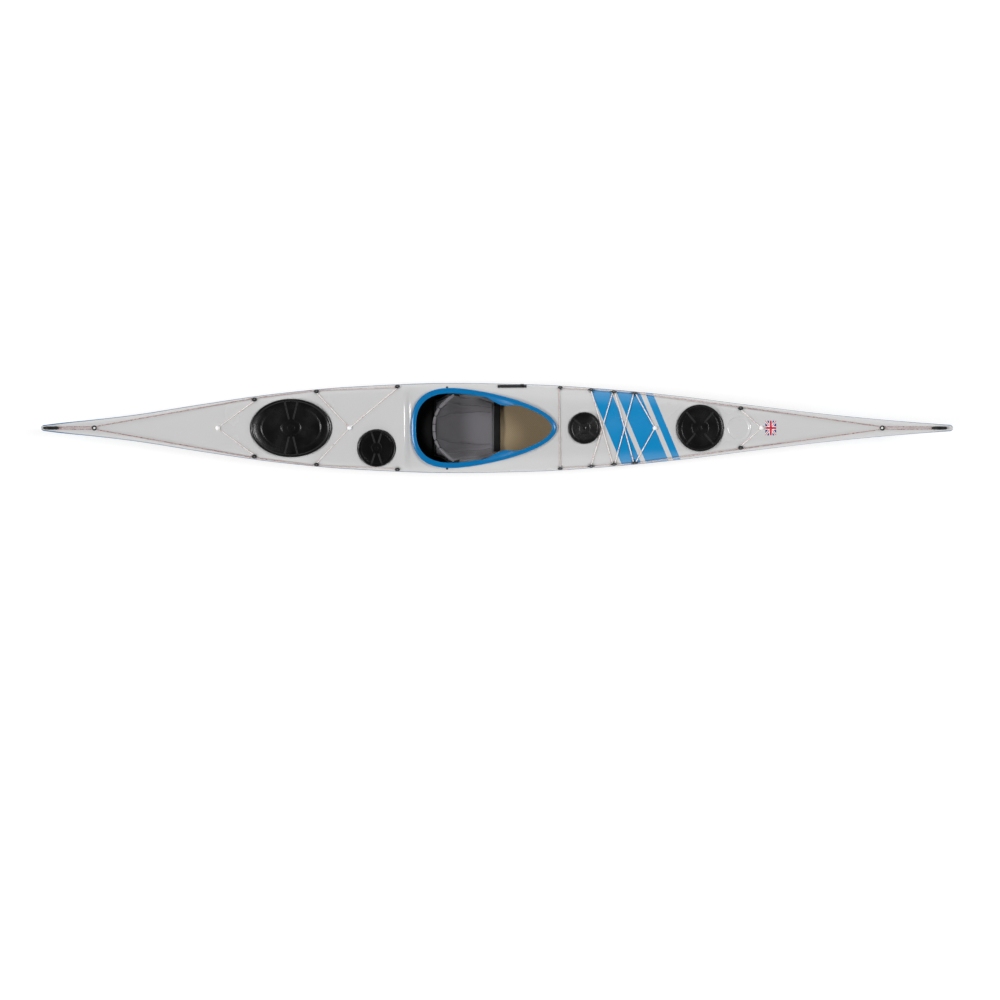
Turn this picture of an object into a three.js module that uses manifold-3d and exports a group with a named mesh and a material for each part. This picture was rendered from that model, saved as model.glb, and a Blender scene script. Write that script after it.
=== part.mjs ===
// A composite touring sea kayak with its cockpit, hatches, skeg, footrests and deck lines.
// Millimetres. +X points to the bow, +Y to port and +Z up. The origin lies under the middle
// of the boat, on the surface that the keel rests on.
import * as THREE from "three";
import { mergeVertices } from "three/addons/utils/BufferGeometryUtils.js";
import Module from "manifold-3d";

const wasm = await Module();
wasm.setup();

// Driving dimensions of the boat
const boatLength = 5460;
const boatBeam = 540;
const seamHeight = 155;
const wall = 3;
const fit = 0.3;
const overrun = 40;
const weldTolerance = 1e-4;

// The tape over the seam between the hull and the deck
const bandHeight = 28;
const bandThickness = 2;
const bandDepthShare = 0.7;

// Sizes of the moulded shell inside the tape
const hullLength = boatLength - 2 * (fit + bandThickness);
const hullHalfBeam = boatBeam / 2 - fit - bandThickness;

// The keel line: a flat middle, a gentle rocker and two straight raked ends
const keelFlatWidth = 50;
const keelFlatLimitShare = 0.3;
const stemFootReach = 457.7;
const stemFootX = hullLength / 2 - stemFootReach;
const stemFootHeight = 118;
const stemRake = 34.2;
const sternFootReach = 247.7;
const sternFootX = sternFootReach - hullLength / 2;
const sternFootHeight = 23;
const sternRake = 37.8;
const footRounding = 11;

// Shape tables: the first number is the place along the hull, as a share of its length
// from the middle; the second is a share of the half beam, or of the seam height
const halfBeamShares = [
  [-0.5, 0.055], [-0.48, 0.106], [-0.44, 0.187], [-0.4, 0.283], [-0.32, 0.538], [-0.24, 0.768],
  [-0.16, 0.917], [-0.05, 1], [0.04, 0.968], [0.12, 0.866], [0.2, 0.708], [0.28, 0.503],
  [0.36, 0.309], [0.44, 0.153], [0.49, 0.076], [0.5, 0.062],
];
const seamShares = [
  [-0.5, 1.53], [-0.45, 1.36], [-0.4, 1.215], [-0.3, 1.045], [-0.2, 0.993], [0, 1.006],
  [0.08, 1.045], [0.16, 1.116], [0.22, 1.226], [0.28, 1.426], [0.34, 1.748], [0.4, 2.123],
  [0.45, 2.49], [0.5, 2.91],
];
const rockerShares = [
  [-0.5, 0.15], [-0.4, 0.084], [-0.33, 0.032], [-0.275, 0], [0.055, 0], [0.11, 0.058],
  [0.165, 0.142], [0.22, 0.232], [0.275, 0.335], [0.33, 0.497], [0.385, 0.684], [0.5, 1.05],
];
const deckShares = [
  [-0.5, 1.626], [-0.43, 1.555], [-0.36, 1.516], [-0.24, 1.516], [-0.16, 1.555],
  [-0.115, 1.6], [-0.103, 1.6], [-0.094, 1.48], [-0.065, 1.6], [-0.022, 1.82], [0, 1.94],
  [0.02, 2.04], [0.045, 2.16], [0.06, 2.19], [0.075, 2.19], [0.09, 2.17], [0.115, 2.11],
  [0.14, 2.045], [0.17, 2.01], [0.195, 1.985], [0.225, 1.99], [0.26, 2.06], [0.29, 2.18],
  [0.34, 2.32], [0.4, 2.56], [0.45, 2.81], [0.5, 3.045],
];
// How square the sections are: 2 is an ellipse, less is a vee and more is a box
const hullPowerShares = [
  [-0.5, 1.6], [-0.35, 1.8], [-0.2, 2.2], [0, 2.5], [0.2, 2.2], [0.35, 1.75], [0.5, 1.6],
];
const deckPowerShares = [
  [-0.5, 2.3], [-0.1, 2.5], [0.07, 2.1], [0.16, 2.15], [0.23, 2.75], [0.28, 2.65], [0.5, 2.3],
];
const deadriseHeight = 22;
const flareShare = 0.13;

// Where the shell is drawn as a full section: close together where the keel or the deck turns
const endStationShares = [0.5, 0.498, 0.49, 0.475];
const turnStationShares = [
  -0.46, -0.45, -0.425, -0.103, -0.0985, -0.094, 0.135, 0.407, 0.417, 0.428, 0.45,
];
const evenStationStepShare = 0.0543;
const evenStationLimitShare = 0.38;
const sectionSteps = 5;

// The hollow stops short of both ends, which are cast solid
const hollowStationStepShare = 0.064;
const hollowEndShare = 0.45;

// A smooth curve through pairs that never overshoots them
function smoothCurve(pairs) {
  const last = pairs.length - 1;
  const slopes = [];
  for (let i = 0; i < last; i++) {
    slopes.push((pairs[i + 1][1] - pairs[i][1]) / (pairs[i + 1][0] - pairs[i][0]));
  }
  const tangents = pairs.map((pair, i) => {
    if (i === 0) return slopes[0];
    if (i === last) return slopes[last - 1];
    if (slopes[i - 1] * slopes[i] <= 0) return 0;
    const before = pair[0] - pairs[i - 1][0];
    const after = pairs[i + 1][0] - pair[0];
    const first = 2 * after + before;
    const second = after + 2 * before;
    return (first + second) / (first / slopes[i - 1] + second / slopes[i]);
  });
  return (along) => {
    let i = 0;
    while (i < last - 1 && along > pairs[i + 1][0]) i++;
    const span = pairs[i + 1][0] - pairs[i][0];
    const t = Math.min(1, Math.max(0, (along - pairs[i][0]) / span));
    const rise = t * t * (3 - 2 * t);
    const start = pairs[i][1] * (1 - rise) + pairs[i + 1][1] * rise;
    return start + span * t * (1 - t) * (tangents[i] * (1 - t) - tangents[i + 1] * t);
  };
}

const halfBeamCurve = smoothCurve(halfBeamShares);
const seamCurve = smoothCurve(seamShares);
const rockerCurve = smoothCurve(rockerShares);
const deckCurve = smoothCurve(deckShares);
const hullPowerCurve = smoothCurve(hullPowerShares);
const deckPowerCurve = smoothCurve(deckPowerShares);

// The last few millimetres of each end round in to a narrow nose
const noseLength = 14;
const noseEndShare = 0.35;

function halfBeam(x) {
  const past = Math.max(0, Math.abs(x) - hullLength / 2 + noseLength) / noseLength;
  const nose = Math.max(noseEndShare, Math.sqrt(Math.max(0, 1 - past * past)));
  return hullHalfBeam * halfBeamCurve(x / hullLength) * nose;
}

function seamLine(x) {
  return seamHeight * seamCurve(x / hullLength);
}

function deckLine(x) {
  return seamHeight * deckCurve(x / hullLength);
}

function roundedMax(a, b, rounding) {
  return (a + b + Math.hypot(a - b, rounding)) / 2 - rounding * rounding / (4 * Math.hypot(a - b, rounding));
}

const stemSlope = Math.tan(THREE.MathUtils.degToRad(stemRake));
const sternSlope = Math.tan(THREE.MathUtils.degToRad(sternRake));
const flatAftX = hullLength * rockerShares[3][0];
const flatForeX = hullLength * rockerShares[4][0];

function keelLine(x) {
  if (x >= flatAftX && x <= flatForeX) return 0;
  const rocker = seamHeight * rockerCurve(x / hullLength);
  const foot = x > 0
    ? stemFootHeight + (x - stemFootX) * stemSlope
    : sternFootHeight + (sternFootX - x) * sternSlope;
  return Math.max(rocker, roundedMax(rocker, foot, footRounding));
}

// One side of the hull section, from the seam down to the middle of the keel, as [y, z]
function hullSide(x, inset, steps) {
  const half = halfBeam(x) - inset;
  const top = seamLine(x);
  const depth = top - keelLine(x) - inset;
  const power = hullPowerCurve(x / hullLength);
  const flat = Math.min(keelFlatWidth / 2, half * keelFlatLimitShare);
  const startAngle = Math.asin(Math.pow(Math.min(bandHeight / 2 / depth, bandDepthShare), power / 2));
  const endAngle = Math.acos(Math.pow(flat / half, power / 2));
  const side = [[half, top]];
  for (let i = 0; i <= steps; i++) {
    const angle = startAngle + (endAngle - startAngle) * i / steps;
    const dropShare = Math.pow(Math.sin(angle) / Math.sin(endAngle), 2 / power);
    const out = half * Math.pow(Math.cos(angle), 2 / power) * (1 - flareShare * dropShare);
    const reachShare = (out - flat * (1 - flareShare)) / half;
    const lift = deadriseHeight * (half / hullHalfBeam) * reachShare * Math.pow(dropShare, 3);
    side.push([out, top - depth * dropShare + lift]);
  }
  side.push([0, top - depth]);
  return side;
}

// One side of the deck section, from the seam up to the middle of the deck
function deckSide(x, inset, steps) {
  const half = halfBeam(x) - inset;
  const bottom = seamLine(x);
  const height = deckLine(x) - bottom - inset;
  const power = deckPowerCurve(x / hullLength);
  const startAngle = Math.asin(Math.pow(Math.min(bandHeight / 2 / height, bandDepthShare), power / 2));
  const side = [[half, bottom]];
  for (let i = 0; i < steps; i++) {
    const angle = startAngle + (Math.PI / 2 - startAngle) * i / steps;
    const out = half * Math.pow(Math.cos(angle), 2 / power);
    side.push([out, bottom + height * Math.pow(Math.sin(angle), 2 / power)]);
  }
  side.push([0, bottom + height]);
  return side;
}

function deckHeight(x, y) {
  const bottom = seamLine(x);
  const power = deckPowerCurve(x / hullLength);
  const outShare = Math.min(1, Math.abs(y) / halfBeam(x));
  return bottom + (deckLine(x) - bottom) * Math.pow(1 - Math.pow(outShare, power), 1 / power);
}

function mirrored(side) {
  return [...side, ...side.slice(0, -1).reverse().map(([y, z]) => [-y, z])];
}

function ringAt(x, outline) {
  return outline.map(([y, z]) => new THREE.Vector3(x, y, z));
}

function stationsOf(shares) {
  return [...new Set(shares)].sort((a, b) => a - b).map((share) => share * hullLength);
}

function evenShares(step, limit) {
  const count = Math.round(limit / step);
  return Array.from({ length: 2 * count + 1 }, (_, i) => (i - count) * limit / count);
}

const shellStations = stationsOf([
  ...evenShares(evenStationStepShare, evenStationLimitShare), ...turnStationShares,
  ...endStationShares, ...endStationShares.map((share) => -share),
]);
const hollowStations = stationsOf([
  ...evenShares(hollowStationStepShare, hollowEndShare),
  ...turnStationShares.filter((share) => Math.abs(share) < evenStationLimitShare),
]);

// Where a ring of points is filled, its triangles turn the way that the ring does
function capFaces(ring) {
  const normal = new THREE.Vector3();
  ring.forEach((point, i) => {
    normal.add(new THREE.Vector3().crossVectors(point, ring[(i + 1) % ring.length]));
  });
  const sizes = [Math.abs(normal.x), Math.abs(normal.y), Math.abs(normal.z)];
  const thin = sizes.indexOf(Math.max(...sizes));
  const flat = ring.map((point) => {
    const values = point.toArray();
    values.splice(thin, 1);
    return new THREE.Vector2(...values);
  });
  const turn = Math.sign(THREE.ShapeUtils.area(flat));
  const faces = THREE.ShapeUtils.triangulateShape(flat.slice(), []);
  const whole = faces.reduce((sum, face) => sum + THREE.ShapeUtils.area(face.map((i) => flat[i])), 0);
  return Math.sign(whole) === turn ? faces : faces.map((face) => face.toReversed());
}

// A closed skin through rings with as many points each; its ends are filled unless it closes on itself
function loft(rings, closes = false) {
  const size = rings[0].length;
  const index = [];
  const spans = closes ? rings.length : rings.length - 1;
  for (let r = 0; r < spans; r++) {
    const near = r * size;
    const far = (r + 1) % rings.length * size;
    for (let i = 0; i < size; i++) {
      const j = (i + 1) % size;
      index.push(near + i, far + i, far + j, near + i, far + j, near + j);
    }
  }
  if (!closes) {
    const shift = (rings.length - 1) * size;
    capFaces(rings[0]).forEach((face) => index.push(...face));
    capFaces(rings.at(-1)).forEach((face) => index.push(...face.toReversed().map((i) => i + shift)));
  }
  const geometry = new THREE.BufferGeometry();
  const positions = rings.flat().flatMap((point) => point.toArray());
  geometry.setAttribute("position", new THREE.Float32BufferAttribute(positions, 3));
  geometry.setIndex(index);
  return facingOut(geometry);
}

function facingOut(geometry) {
  const position = geometry.getAttribute("position");
  const index = Array.from(geometry.index.array);
  const [a, b, c] = [new THREE.Vector3(), new THREE.Vector3(), new THREE.Vector3()];
  let volume = 0;
  for (let i = 0; i < index.length; i += 3) {
    a.fromBufferAttribute(position, index[i]);
    b.fromBufferAttribute(position, index[i + 1]);
    c.fromBufferAttribute(position, index[i + 2]);
    volume += a.dot(b.cross(c));
  }
  if (volume < 0) geometry.setIndex(index.reverse());
  return geometry;
}

// Closed bodies that can be joined and cut
function solidOf(geometry) {
  const bare = geometry.clone();
  bare.deleteAttribute("normal");
  bare.deleteAttribute("uv");
  const merged = mergeVertices(bare, weldTolerance);
  const mesh = new wasm.Mesh({
    numProp: 3,
    vertProperties: Float32Array.from(merged.getAttribute("position").array),
    triVerts: Uint32Array.from(merged.index.array),
  });
  return new wasm.Manifold(mesh);
}

function geometryOf(solid) {
  const mesh = solid.getMesh();
  const positions = [];
  for (let i = 0; i < mesh.vertProperties.length; i += mesh.numProp) {
    positions.push(...mesh.vertProperties.slice(i, i + 3));
  }
  const geometry = new THREE.BufferGeometry();
  geometry.setAttribute("position", new THREE.Float32BufferAttribute(positions, 3));
  geometry.setIndex(Array.from(mesh.triVerts));
  return geometry;
}

function joined(...geometries) {
  return geometryOf(geometries.map(solidOf).reduce((whole, next) => whole.add(next)));
}

function cut(geometry, ...tools) {
  return geometryOf(tools.map(solidOf).reduce((whole, next) => whole.subtract(next), solidOf(geometry)));
}

function trimmed(geometry, limit) {
  return geometryOf(solidOf(geometry).intersect(solidOf(limit)));
}

// A turned piece standing on +Z; its profile is [radius, z] pairs, and closes on itself or on the axis
function turned(profile, segments) {
  const points = profile.map(([radius, z]) => new THREE.Vector2(radius, z));
  const geometry = new THREE.LatheGeometry(points, segments).rotateX(Math.PI / 2);
  return facingOut(mergedIndex(geometry));
}

function mergedIndex(geometry) {
  geometry.deleteAttribute("normal");
  geometry.deleteAttribute("uv");
  return mergeVertices(geometry, weldTolerance);
}

function box(sizeX, sizeY, sizeZ, x = 0, y = 0, z = 0) {
  return new THREE.BoxGeometry(sizeX, sizeY, sizeZ).translate(x, y, z);
}

function rod(radius, length, segments) {
  return new THREE.CylinderGeometry(radius, radius, length, segments).rotateX(Math.PI / 2);
}

// A cord follows its points exactly, with a section that bisects each bend
class Route extends THREE.Curve {
  constructor(points) {
    super();
    this.points = points;
  }

  getUtoTmapping(u) {
    return u;
  }

  getPoint(t) {
    const place = t * (this.points.length - 1);
    const i = Math.min(Math.floor(place), this.points.length - 2);
    return this.points[i].clone().lerp(this.points[i + 1], place - i);
  }

  getTangent(t) {
    const i = Math.round(t * (this.points.length - 1));
    const here = this.points[i];
    const before = this.points[Math.max(0, i - 1)];
    const after = this.points[Math.min(this.points.length - 1, i + 1)];
    const back = here.clone().sub(before).normalize();
    const ahead = after.clone().sub(here).normalize();
    return back.add(ahead).normalize();
  }
}

function circle(radius, sides) {
  const corners = Array.from({ length: sides }, (_, i) => {
    const angle = i / sides * 2 * Math.PI;
    return new THREE.Vector2(radius * Math.cos(angle), radius * Math.sin(angle));
  });
  return new THREE.Shape(corners);
}

function cordGeometry(points, radius, sides) {
  const path = new Route(points);
  const geometry = new THREE.ExtrudeGeometry(circle(radius, sides), {
    steps: points.length - 1, extrudePath: path,
  });
  return facingOut(mergedIndex(geometry));
}

const kayak = new THREE.Group();
kayak.name = "sea_kayak";

const finishes = {
  deckGelcoat: { color: 0xcfd0d0, roughness: 0.25, metalness: 0 },
  hullLaminate: { color: 0x4a4438, roughness: 0.35, metalness: 0 },
  blueGelcoat: { color: 0x1b78c0, roughness: 0.3, metalness: 0 },
  blackRubber: { color: 0x121212, roughness: 0.6, metalness: 0 },
  blackPlastic: { color: 0x1a1a1a, roughness: 0.5, metalness: 0 },
  bareLaminate: { color: 0x6f6350, roughness: 0.5, metalness: 0 },
  greyFabric: { color: 0x77757a, roughness: 0.9, metalness: 0 },
  blackWebbing: { color: 0x1c1c1e, roughness: 0.85, metalness: 0 },
  fleckedCord: { color: 0xe6dcd9, roughness: 0.8, metalness: 0 },
  aluminium: { color: 0xb8babc, roughness: 0.35, metalness: 1 },
  stainlessSteel: { color: 0xc8c8c8, roughness: 0.25, metalness: 1 },
};

function addPiece(name, geometry, finish, parent = kayak) {
  geometry.deleteAttribute("normal");
  geometry.deleteAttribute("uv");
  geometry.computeVertexNormals();
  const mesh = new THREE.Mesh(geometry, new THREE.MeshStandardMaterial(finishes[finish]));
  mesh.name = name;
  parent.add(mesh);
  return mesh;
}

// Hull and deck mouldings, as solid blanks and as the hollow inside them
function hullRing(x) {
  return mirrored(hullSide(x, 0, sectionSteps)).reverse();
}

function deckRing(x) {
  return mirrored(deckSide(x, 0, sectionSteps));
}

function shellBlank(ringOf, lift) {
  return loft(shellStations.map((x) => ringAt(x, ringOf(x)))).translate(0, 0, lift);
}

// The hollow of one half, whose edge is moved from the seam, so that both hollows make one space
function hollowBlank(side, inset, seamShift) {
  return loft(hollowStations.map((x) => {
    const outline = side(x, inset, sectionSteps);
    outline[0][1] += seamShift;
    return ringAt(x, mirrored(outline));
  }));
}

const hullBlank = shellBlank(hullRing, 0);
const deckBlank = shellBlank(deckRing, fit);
const roomInset = wall + 2 * fit;
const room = joined(
  hollowBlank(hullSide, roomInset, fit),
  hollowBlank(deckSide, roomInset, 0),
);

// A frame on the deck surface: x along the boat, y outboard and z square to the deck
const slopeReach = 1;

function deckNormal(x, y) {
  const rise = deckHeight(x + slopeReach, y) - deckHeight(x - slopeReach, y);
  const turn = deckHeight(x, y + slopeReach) - deckHeight(x, y - slopeReach);
  return new THREE.Vector3(-rise, -turn, 2 * slopeReach).normalize();
}

function deckFrame(x, y) {
  const normal = deckNormal(x, y);
  const along = new THREE.Vector3(1, 0, 0).projectOnPlane(normal).normalize();
  const port = new THREE.Vector3().crossVectors(normal, along);
  return new THREE.Matrix4().makeBasis(along, port, normal).setPosition(x, y, deckHeight(x, y));
}

// A piece drawn from below the deck surface is cut off where it meets the deck
function seatedOnDeck(geometry, frame) {
  const normal = new THREE.Vector3().setFromMatrixColumn(frame, 2).multiplyScalar(fit);
  return cut(geometry.applyMatrix4(frame), deckBlank.clone().translate(normal.x, normal.y, normal.z));
}

// Cockpit rim: a lip for the spraydeck, a riser through the deck and two thigh braces
const coamingRearX = -514;
const coamingFrontX = 358;
const coamingHalfWidth = 240;
const coamingWidestX = -263;
const rimSideWidth = 32;
const rimEndWidth = 29;
const rimThickness = 5;
const rimRounding = 2.5;
const lipOverhang = 18;
const lipFall = 2;
const riserThickness = 4;
const riserDepth = 12;
const braceX = 30;
const braceReach = 112;
const braceWidth = 27;
const braceDroopShare = 0.25;
const coamingSteps = 17;
const rearPower = 2.6;
const frontPower = 1.4;
const frontRoundness = 0.515;
const rimHeightShares = [
  [0, 1.613], [0.185, 1.639], [0.454, 1.755], [0.589, 1.916], [0.7225, 2.123], [0.857, 2.27], [1, 2.316],
];
const rimCurve = smoothCurve(rimHeightShares);

function rimLine(x) {
  return seamHeight * rimCurve((x - coamingRearX) / (coamingFrontX - coamingRearX));
}

function eggOutline(alongShare, rear, front, half) {
  const x = rear + (front - rear) * alongShare;
  const toRear = Math.min(1, Math.max(0, (coamingWidestX - x) / (coamingWidestX - rear)));
  const toFront = Math.min(1, Math.max(0, (x - coamingWidestX) / (front - coamingWidestX)));
  const y = x < coamingWidestX
    ? Math.pow(1 - Math.pow(toRear, rearPower), 1 / rearPower)
    : Math.pow(1 - Math.pow(toFront, frontPower), frontRoundness);
  return new THREE.Vector2(x, half * y);
}

function rimPair(step) {
  const alongShare = (1 - Math.cos(Math.PI * step / coamingSteps)) / 2;
  const [outer, inner] = [[0, 0], [rimEndWidth, rimSideWidth]].map(([endInset, sideInset]) => eggOutline(
    alongShare, coamingRearX + endInset, coamingFrontX - endInset, coamingHalfWidth - sideInset,
  ));
  const fromBrace = Math.min(1, Math.abs(inner.x - braceX) / braceReach);
  inner.y -= braceWidth * Math.pow(Math.cos(fromBrace * Math.PI / 2), 2);
  return { inner, outer };
}

function rimStations() {
  const port = Array.from({ length: coamingSteps + 1 }, (_, step) => rimPair(step));
  const starboard = port.slice(1, -1).reverse().map(({ inner, outer }) => ({
    inner: new THREE.Vector2(inner.x, -inner.y), outer: new THREE.Vector2(outer.x, -outer.y),
  }));
  return [...port, ...starboard].map(({ inner, outer }) => {
    const width = outer.distanceTo(inner);
    return { inner, width, outward: outer.clone().sub(inner).normalize() };
  });
}

function riserPoint({ inner, width, outward }, past = 0) {
  return inner.clone().addScaledVector(outward, width - lipOverhang + past);
}

function coamingGeometry() {
  return loft(rimStations().map((station) => {
    const { inner, width, outward } = station;
    const riser = riserPoint(station);
    const top = rimLine(riser.x);
    const foot = deckHeight(riser.x, riser.y) - riserDepth - top;
    const droop = Math.max(0, width - rimSideWidth) * braceDroopShare;
    const profile = [
      [0, -droop - rimThickness], [0, -droop - rimRounding], [rimRounding, -droop],
      [width - lipOverhang, 0], [width, -lipFall - rimRounding],
      [width, -lipFall - rimThickness], [width - lipOverhang, -rimThickness], [width - lipOverhang, foot],
      [width - lipOverhang - riserThickness, foot], [width - lipOverhang - riserThickness, -rimThickness],
    ];
    return profile.map(([out, z]) => {
      const place = inner.clone().addScaledVector(outward, out);
      return new THREE.Vector3(place.x, place.y, top + z);
    });
  }), true);
}

function cockpitHole() {
  const outline = rimStations().map((station) => riserPoint(station, 2 * fit));
  const levels = [seamHeight + overrun / 2, rimLine(coamingFrontX) + overrun];
  return loft(levels.map((z) => outline.map((point) => new THREE.Vector3(point.x, point.y, z))));
}

addPiece("cockpit_coaming", coamingGeometry(), "blueGelcoat");

// Hatches: each sits on a flat moulded in the deck, at a height below the deck line there
const hatches = {
  stern: { x: -1233, y: 0, length: 486, width: 351, roll: 0, pitch: 0, sink: 4, segments: 18 },
  day: { x: -721, y: -119, length: 228, width: 228, roll: 8, pitch: 0, sink: 10, segments: 14 },
  pod: { x: 523, y: 0, length: 192, width: 192, roll: 0, pitch: 3.9, sink: 4, segments: 14 },
  bow: { x: 1215, y: 0, length: 282, width: 282, roll: 0, pitch: 0, sink: 4, segments: 14 },
};
const flatMargin = 3;
const recessLap = 1;
const flatDraft = 5;
const flatDepth = 45;
const coverSkirt = 3.7;
const coverHeight = 19.5;
const hatchNeck = 6;
const hatchFlange = 3;
const hatchRimHeight = 13;
const spigotWall = 3;
const spigotDepth = 10;

function hatchFrame({ x, y, roll, pitch, sink }) {
  const turn = new THREE.Euler(THREE.MathUtils.degToRad(roll), THREE.MathUtils.degToRad(pitch), 0);
  return new THREE.Matrix4().makeRotationFromEuler(turn).setPosition(x, y, deckHeight(x, y) - sink);
}

function mouthRadius(hatch) {
  return hatch.width / 2 - coverSkirt - fit - hatchNeck;
}

function hatchTurned(hatch, profile) {
  const round = turned(profile, hatch.segments);
  return round.scale(hatch.length / hatch.width, 1, 1).applyMatrix4(hatchFrame(hatch));
}

// The flat stands proud of the deck on its low sides and is let into it on its high sides
function hatchFlat(hatch, inset) {
  const radius = hatch.width / 2 + flatMargin - inset;
  return hatchTurned(hatch, [[0, -flatDepth], [radius + flatDraft, -flatDepth], [radius, 0], [0, 0]]);
}

function hatchRecess(hatch, inset) {
  const radius = hatch.width / 2 + flatMargin - recessLap + inset;
  return hatchTurned(hatch, [[0, -inset], [radius, -inset], [radius, flatDepth], [0, flatDepth]]);
}

function hatchHole(hatch) {
  const radius = mouthRadius(hatch) + spigotWall + fit;
  return hatchTurned(hatch, [[0, -flatDepth], [radius, -flatDepth], [radius, flatDepth], [0, flatDepth]]);
}

function hatchRim(hatch) {
  const outer = hatch.width / 2;
  const mouth = mouthRadius(hatch);
  const profile = [
    [mouth, -spigotDepth], [mouth + spigotWall, -spigotDepth], [mouth + spigotWall, fit], [outer, fit],
    [outer, hatchFlange], [mouth + hatchNeck, hatchFlange], [mouth + hatchNeck, hatchRimHeight],
    [mouth, hatchRimHeight],
  ];
  return hatchTurned(hatch, [...profile, profile[0]]);
}

// Heights across the top of a cover, from its edge to its middle: an edge ring and a shallow dish
const coverEdgeShares = [[1, 0.8], [0.95, 1], [0.91, 0.72], [0, 0.72]];
const coverDishShare = 0.4;

function hatchCover(hatch) {
  const outer = hatch.width / 2;
  const plug = mouthRadius(hatch) - 2 * fit;
  const seat = hatchRimHeight + fit;
  const dish = coverHeight * coverDishShare;
  return hatchTurned(hatch, [
    [0, dish], [plug, dish], [plug, seat], [outer - coverSkirt, seat],
    [outer - coverSkirt, hatchFlange + fit], [outer, hatchFlange + fit],
    ...coverEdgeShares.map(([out, up]) => [outer * out, coverHeight * up]),
  ]);
}

for (const [name, hatch] of Object.entries(hatches)) {
  addPiece(`${name}_hatch_rim`, hatchRim(hatch), "blackPlastic");
  addPiece(`${name}_hatch_cover`, hatchCover(hatch), "blackRubber");
}

// The small compartment in front of the paddler is a cup that hangs in its hatch rim
const podDepth = 150;
const podWall = 2.5;
const podCorner = 25;
const podTop = 2;

function podGeometry(hatch) {
  const radius = mouthRadius(hatch) - fit;
  return hatchTurned(hatch, [
    [0, -podDepth], [radius - podCorner, -podDepth], [radius, -podDepth + podCorner], [radius, -podTop],
    [radius - podWall, -podTop], [radius - podWall, -podDepth + podCorner],
    [radius - podCorner, -podDepth + podWall], [0, -podDepth + podWall],
  ]);
}

addPiece("deck_pod", podGeometry(hatches.pod), "bareLaminate");

// A shallow dish for a compass in the foredeck
const compassX = 1443;
const compassRadius = 80;
const compassDepth = 10;
const compassDraft = 22;
const compassSides = 14;

function compassDish(inset) {
  const radius = compassRadius + inset;
  const level = deckHeight(compassX, 0);
  const depth = compassDepth + inset;
  const dish = turned([
    [0, -depth], [radius - compassDraft, -depth], [radius, 0], [radius, overrun], [0, overrun],
  ], compassSides);
  return dish.translate(compassX, 0, level);
}

// Small round pieces have this many sides
const roundSides = 8;

// Bolts through the side deck that carry the seat and back band
const bolts = { x: -299, y: 243, headRadius: 7, headHeight: 5, shankRadius: 3, shankLength: 18, lap: 1 };

function boltFrame(side) {
  return deckFrame(bolts.x, side * bolts.y);
}

function deckBolt(side) {
  const { headRadius, headHeight, shankRadius, shankLength, lap } = bolts;
  const head = seatedOnDeck(rod(headRadius, 2 * headHeight, roundSides), boltFrame(side));
  const shank = rod(shankRadius, shankLength, roundSides).translate(0, 0, lap - shankLength / 2);
  return joined(head, shank.applyMatrix4(boltFrame(side)));
}

function boltHole(side) {
  return rod(bolts.shankRadius + fit, overrun, roundSides).applyMatrix4(boltFrame(side));
}

const sides = { port: 1, starboard: -1 };
for (const [name, side] of Object.entries(sides)) {
  addPiece(`${name}_seat_bolt`, deckBolt(side), "blackPlastic");
}

// Skeg: a box through the keel with a blade that swings down on a pin
const skegBoxReach = 617.7;
const skegBoxLength = 295;
const skegBoxAftX = skegBoxReach - hullLength / 2;
const skegBoxForeX = skegBoxAftX + skegBoxLength;
const skegBoxTop = 150;
const skegBoxWidth = 18;
const skegBoxWall = 3;
const skegBladeThickness = 8;
const skegPinRadius = 3;
const skegPinSides = 12;
const skegPivotInset = 22;
const skegPivotHeight = 40;
const skegHeelRadius = 16;
const skegBladeLength = 262;
const skegBladeFoot = 17;
const skegBladeTop = 118;
const skegShoulderShare = 0.4;
const skegPivotX = skegBoxForeX - skegPivotInset;

function skegBoxBlank(grown) {
  const length = skegBoxForeX - skegBoxAftX + 2 * grown;
  const height = skegBoxTop + overrun + grown;
  const middle = (skegBoxForeX + skegBoxAftX) / 2;
  return box(length, skegBoxWidth + 2 * grown, height, middle, 0, skegBoxTop + grown - height / 2);
}

function skegBox() {
  const inside = box(
    skegBoxForeX - skegBoxAftX - 2 * skegBoxWall, skegBoxWidth - 2 * skegBoxWall, skegBoxTop + overrun,
    (skegBoxForeX + skegBoxAftX) / 2, 0, (skegBoxTop - overrun) / 2 - skegBoxWall,
  );
  return trimmed(cut(skegBoxBlank(0), inside, skegPinHole()), hullBlank);
}

function skegPinRod(radius, length) {
  return rod(radius, length, skegPinSides).rotateX(Math.PI / 2).translate(skegPivotX, 0, skegPivotHeight);
}

function skegPinHole() {
  return skegPinRod(skegPinRadius + fit, skegBoxWidth + overrun);
}

function skegBlade() {
  const outline = new THREE.Shape();
  const tipX = skegPivotX - skegBladeLength;
  outline.moveTo(skegPivotX, skegPivotHeight - skegHeelRadius);
  outline.absarc(skegPivotX, skegPivotHeight, skegHeelRadius, -Math.PI / 2, Math.PI * 0.6, false);
  const shoulderX = skegPivotX - skegBladeLength * skegShoulderShare;
  outline.quadraticCurveTo(shoulderX, skegBladeTop, tipX + skegHeelRadius, skegBladeTop);
  outline.quadraticCurveTo(tipX, skegBladeTop, tipX, skegBladeTop - skegHeelRadius);
  outline.lineTo(tipX, skegBladeFoot + skegHeelRadius);
  outline.quadraticCurveTo(tipX, skegBladeFoot, tipX + skegHeelRadius, skegBladeFoot);
  outline.closePath();
  const plate = new THREE.ExtrudeGeometry(outline, {
    depth: skegBladeThickness, bevelEnabled: false, curveSegments: 5,
  });
  plate.rotateX(Math.PI / 2).translate(0, skegBladeThickness / 2, 0);
  return cut(facingOut(mergedIndex(plate)), skegPinHole());
}

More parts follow.
